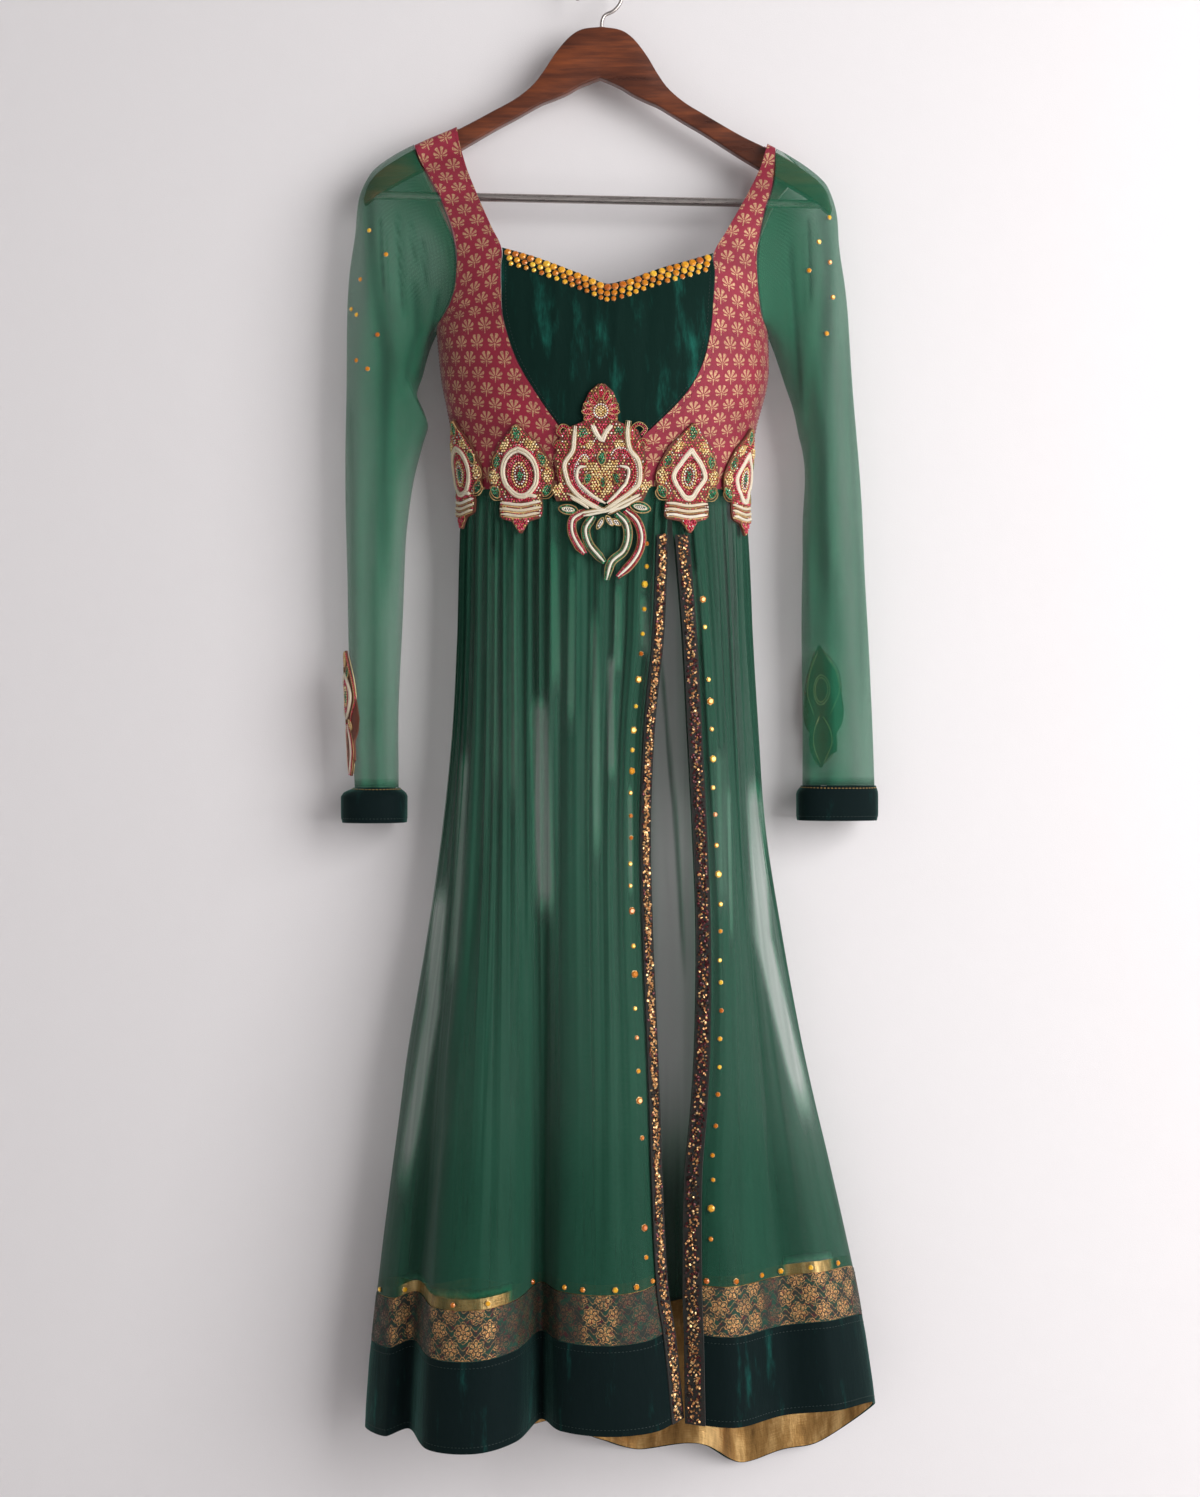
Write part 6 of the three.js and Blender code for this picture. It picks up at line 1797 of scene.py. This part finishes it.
# the motifs near the wrists
wrists = {"left": (22, -710, 58), "right": (248, -700, 60)}
wristSpread = 1.72
for side, (at, z, half) in wrists.items():
    middles = (sleeveTables[side]["outerZ"] + sleeveTables[side]["innerZ"]) / 2
    sleeveRows = {"z": middles, "i": np.arange(13)}

    def onWrist(x, h, out, side=side, at=at, z=z, rows=sleeveRows):
        x, h, out = np.broadcast_arrays(x, h, out)
        sign = sides[side]
        turn, depth = (at * sign + wristSpread * x) / 50, -(z + h)

        def surface(t, d):
            return sleevePoint(side, sign * t * 50, readAt(rows, "z", "i", -d))

        facing = normals(surface, turn, depth)
        return surface(turn, depth) + facing * (motif["gap"] + 0.6 + out)[..., None], facing

    work = Work(onWrist)
    work.leaf(0, 50, 0, 14, 7, "gold")
    work.leaf(-7, 38, 22, 13, 6.5, "green")
    work.leaf(7.5, 37, -22, 13, 6.5, "green")
    work.fill(ring(0, 16, 2.6, 6, 20), 1.7, "green", 0.95, 3.6)
    work.line(ring(0, 16, 4.6, 8.6, 40), 2, "gold", 1.1, 3.5, True)
    for rx, ry in ((7, 12), (8.8, 14.6)):
        work.line(ring(0, 16, rx, ry, 60, 0.2), 1.8, "red", out=3.4, closed=True)
        work.cord(ring(0, 16, rx, ry, 40, 0.2), 0.5, "gold", -0.5, 5, closed=True)
    for shift in (0, 1.7):
        for s in (-1, 1):
            arch = [(0, 36 + shift), (8.4 + shift, 28), (12.6 + shift, 17), (9 + shift, 5), (1, -5)]
            work.cord(bow([(x * s, h) for x, h in arch], 50), 1.25, "cream", 3.7)
    for s in (-1, 1):
        edge = [(3, 54), (9, 44), (14, 34), (17, 22), (17.5, 12), (12, -1), (9, -8)]
        edge = bow([(x * s, h) for x, h in edge], 50)
        lower = [(x * s, h) for x, h in [(2, -10), (8.5, -24), (9.5, -37), (5.5, -48), (1.6, -56)]]
        work.cord(edge, 0.55, "goldCord", 2.6, 6)
        work.cord(edge, 0.5, "gold", -0.5, 5)
        work.cord(bow(lower, 30), 0.6, "gold", -0.5, 5)
        work.line(offsetLine(edge, s * 1.5), 1.8, "red")
        work.leaf(s * 9.5, -10, s * 40, 12, 6, "gold")
        strand(work, lower, "red", 2.4, 2.9, 1.2)
    heights = np.linspace(-1, 1, 40)
    halves = np.interp(heights, medallionOutline["height"], medallionOutline["half"]) * 38 / wristSpread
    outline = np.stack([heights * half, halves, halves], -1)
    made = work.piece("worked_wrist_" + side, patch(onWrist, outline, 12, 0.4))
    fitted(made, "applique", "wrist_motif_" + side)
print("wrists ready")

# stones and sequins


# where on a sleeve's front a place in the front view lies
def sleeveFront(side, x, z):
    a, b = np.meshgrid(np.linspace(4, 176, 140), np.linspace(0.5, 8, 140))
    for _ in range(3):
        points = sleevePoint(side, a, b)
        miss = (points[..., 0] - x) ** 2 + (points[..., 2] - z) ** 2
        cost = np.where(miss < miss.min() + 16, points[..., 1] * 0.02, 1e9) + miss
        k = np.unravel_index(cost.argmin(), cost.shape)
        stepA, stepB = a[0, 1] - a[0, 0], b[1, 0] - b[0, 0]
        a, b = np.meshgrid(a[k] + stepA * np.linspace(-2, 2, 40), b[k] + stepB * np.linspace(-2, 2, 40))
    found = sleevePoint(side, a, b)
    k = np.unravel_index(((found[..., 0] - x) ** 2 + (found[..., 2] - z) ** 2).argmin(), a.shape)
    return a[k], b[k]


# work on places in space, and their numbers as its flat
def spaceWork(places, facing):
    places, facing = np.array(places), np.array(facing)

    def place(i, _, out):
        i = np.asarray(i, int)
        return places[i] + facing[i] * np.asarray(out)[..., None], facing[i]

    return Work(place), np.stack([np.arange(len(places)), np.zeros(len(places))], -1)


def stonePiece(name, places, facing, sizes, out):
    work, flat = spaceWork(places, facing)
    work.beads(flat, "stone", np.array(sizes), out, stoneShape, 0.05)
    work.beads(flat, "goldCord", np.array(sizes) * 1.16, out - 0.25, sequinShape, 0.02)
    fitted(work.piece(name), "applique")


neck = {"columns": 27, "rows": [(3.9, 3.3), (10, 2.75), (15.5, 2.25)], "from": 0.022, "to": 0.978}
places, facing, sizes = [], [], []
for below, size in neck["rows"]:
    count = neck["columns"]
    c = np.linspace(neck["from"], neck["to"], count) + random.normal(0, 0.0012, count)
    across = yokeNeck(c + 0.004, below) - yokeNeck(c - 0.004, below)
    upward = yokeNeck(c, below - 0.5) - yokeNeck(c, below + 0.5)
    places += list(yokeNeck(c, below))
    facing += list(unit(np.cross(across, upward)))
    sizes += list(size * random.uniform(0.93, 1.05, count))
stonePiece("neck_stones", places, facing, sizes, 0.9)

trims = {
    "left": {
        "small": [
            542, 565, 608, 633, 653, 706, 750, 793, 816, 838, 864, 886, 946, 1008, 1037, 1070, 1136, 1253,
        ],
        "big": [583, 679, 730, 771, 911, 974, 1099, 1224],
    },
    "right": {
        "small": [
            626, 679, 729, 788, 815, 846, 905, 932, 961, 983, 1011, 1039, 1067, 1094, 1125, 1154, 1178, 1236,
        ],
        "big": [598, 701, 759, 875, 1206],
    },
    "off": 8.6,
}
places, facing, sizes = [], [], []
for side in sides:
    for kind, size in (("small", 2), ("big", 3.1)):
        for py in trims[side][kind]:
            z = frontPlace(600, py)[1]
            out = tape["width"] + np.linspace(0, 0.12, 240)
            around = out if side == "left" else 1 - out
            share = (waistZ - garment["seam"] - z) / (skirtLength(around) - garment["seam"])
            row = skirtForm(around, share)
            k = np.searchsorted(runAlong(row), trims["off"] + random.normal(0, 0.5))
            places.append(skirt(around[k], share[k]))
            facing.append(normals(skirtForm, around[k], share[k]))
            sizes.append(size * random.uniform(0.94, 1.06))
hemStones = [
    (376, 1285), (403, 1291), (456, 1315), (490, 1315), (532, 1298), (565, 1290), (583, 1291), (615, 1288),
    (636, 1285), (652, 1282), (706, 1280), (735, 1282), (762, 1282), (782, 1280), (812, 1276), (841, 1270),
]
for px, py in hemStones:
    x, z = frontPlace(px, py)
    a = np.linspace(0.001, 0.38, 3000) if px < 665 else np.linspace(0.84, 0.999, 1500)
    b = shareAbove(a, topOfHem + 4.5)
    row = skirt(a, b)
    k = (np.abs(row[:, 0] - x) + 0.1 * row[:, 1]).argmin()
    a, b = a[k], b[k]
    places.append(skirt(a, b))
    facing.append(normals(skirtForm, a, b))
    sizes.append(2.5 * random.uniform(0.9, 1.1))
stonePiece("skirt_stones", places, facing, sizes, 0.6)

# the sleeves' own view is a little nearer than the skirt's
sleeveView = {"step": 0.941, "down": 0.955, "level": 742, "shrink": 0.985}
sleeveStones = {
    "left": [(370, 232), (387, 257), (361, 280), (351, 308), (357, 315), (378, 336), (357, 361), (368, 370)],
    "right": [(829, 218), (818, 244), (829, 264), (808, 273), (832, 299), (826, 335)],
}
places, facing = [], []
for side, stones in sleeveStones.items():
    for px, py in stones:
        x, level = (px - front["middle"]) * sleeveView["step"], sleeveView["level"]
        z = (level - (py + front["above"]) * sleeveView["down"]) * sleeveView["shrink"] - level
        turn, along = sleeveFront(side, x, z)
        places.append(sleevePoint(side, turn, along))
        degree = sleevePoint(side, turn + 1, along) - sleevePoint(side, turn - 1, along)
        down = sleevePoint(side, turn, along + 0.02) - sleevePoint(side, turn, along - 0.02)
        out = unit(np.cross(degree, down))
        facing.append(out * (-1 if out[1] > 0 else 1))
stonePiece("sleeve_stones", places, facing, np.full(len(places), 2.1), 0.8)

sequins = {"count": 1900, "size": 1.15}
for side in sides:
    count, atStart = sequins["count"], side == "left"
    across = random.uniform(0.16, 0.84, count)
    share = tape["from"] + (0.998 - tape["from"]) * (np.arange(count) + random.uniform(0, 1, count)) / count
    raised = 0.55 * np.sin(np.pi * across) + random.uniform(0.1, 0.7, count)
    points, _ = tapePlace(across, share, raised, atStart)
    around = across * tape["width"]
    work, flat = spaceWork(points, normals(skirtForm, around if atStart else 1 - around, share))
    middle = 1 - smooth(np.abs(across - 0.5), 0.14, 0.36)
    ends = 1.05 if atStart else 0.4 + 0.5 * (1 - smooth(share, 0.08, 0.3)) + 0.6 * smooth(share, 0.72, 0.92)
    golden = random.uniform(0, 1, count) < (0.12 + 0.75 * middle) * ends
    tone = np.where(golden, random.uniform(0.55, 1, count), random.uniform(0, 0.5, count))
    size = sequins["size"] * random.uniform(0.75, 1.2, count)
    work.beads(flat, "sequin", size, 0, sequinShape, 0.55, tone)
    fitted(work.piece("sequins_" + side), "sequin_tape")
print("stones ready")

# running stitches along the seams
stitch = {"pitch": 3.4, "length": 2, "radius": 0.3}
turns = 2 * np.pi * np.arange(5) / 5
stitchPoints = [(x, np.cos(t), np.sin(t)) for x in (-0.7, 0.7) for t in turns] + [(-1, 0, 0), (1, 0, 0)]
stitchFaces = [(i, (i + 1) % 5, 5 + (i + 1) % 5, 5 + i) for i in range(5)]
stitchFaces += [(10, (i + 1) % 5, i) for i in range(5)] + [(11, 5 + i, 5 + (i + 1) % 5) for i in range(5)]


def sewn(name, rows):
    work = Work(None)
    for grid, axis, index, tone in rows:
        facing = np.cross(np.gradient(grid, axis=1), np.gradient(grid, axis=0))
        path, facing = (grid[index], facing[index]) if axis == 0 else (grid[:, index], facing[:, index])
        facing, run = unit(facing), runAlong(path)
        at = np.arange(stitch["pitch"] / 2, run[-1], stitch["pitch"])
        points, ahead, out = (
            np.stack([np.interp(at + step, run, values[:, k]) for k in range(3)], -1)
            for values, step in ((path, 0), (path, 0.4), (facing, 0))
        )
        ahead = unit(ahead - points)
        side = np.cross(out, ahead) * stitch["radius"]
        axes = np.stack([ahead * stitch["length"] / 2, side, out * stitch["radius"]], 1)
        made = points[:, None] + np.einsum("pk,nkx->npx", stitchPoints, axes)
        bits = [tuple(v + i * 12 for v in face) for i in range(len(at)) for face in stitchFaces]
        work.add(made.reshape(-1, 3), bits, tone, "stitch")
    fitted(work.piece(name), "applique")


sewn("stitching", seams)
print("stitches ready")


low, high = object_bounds()
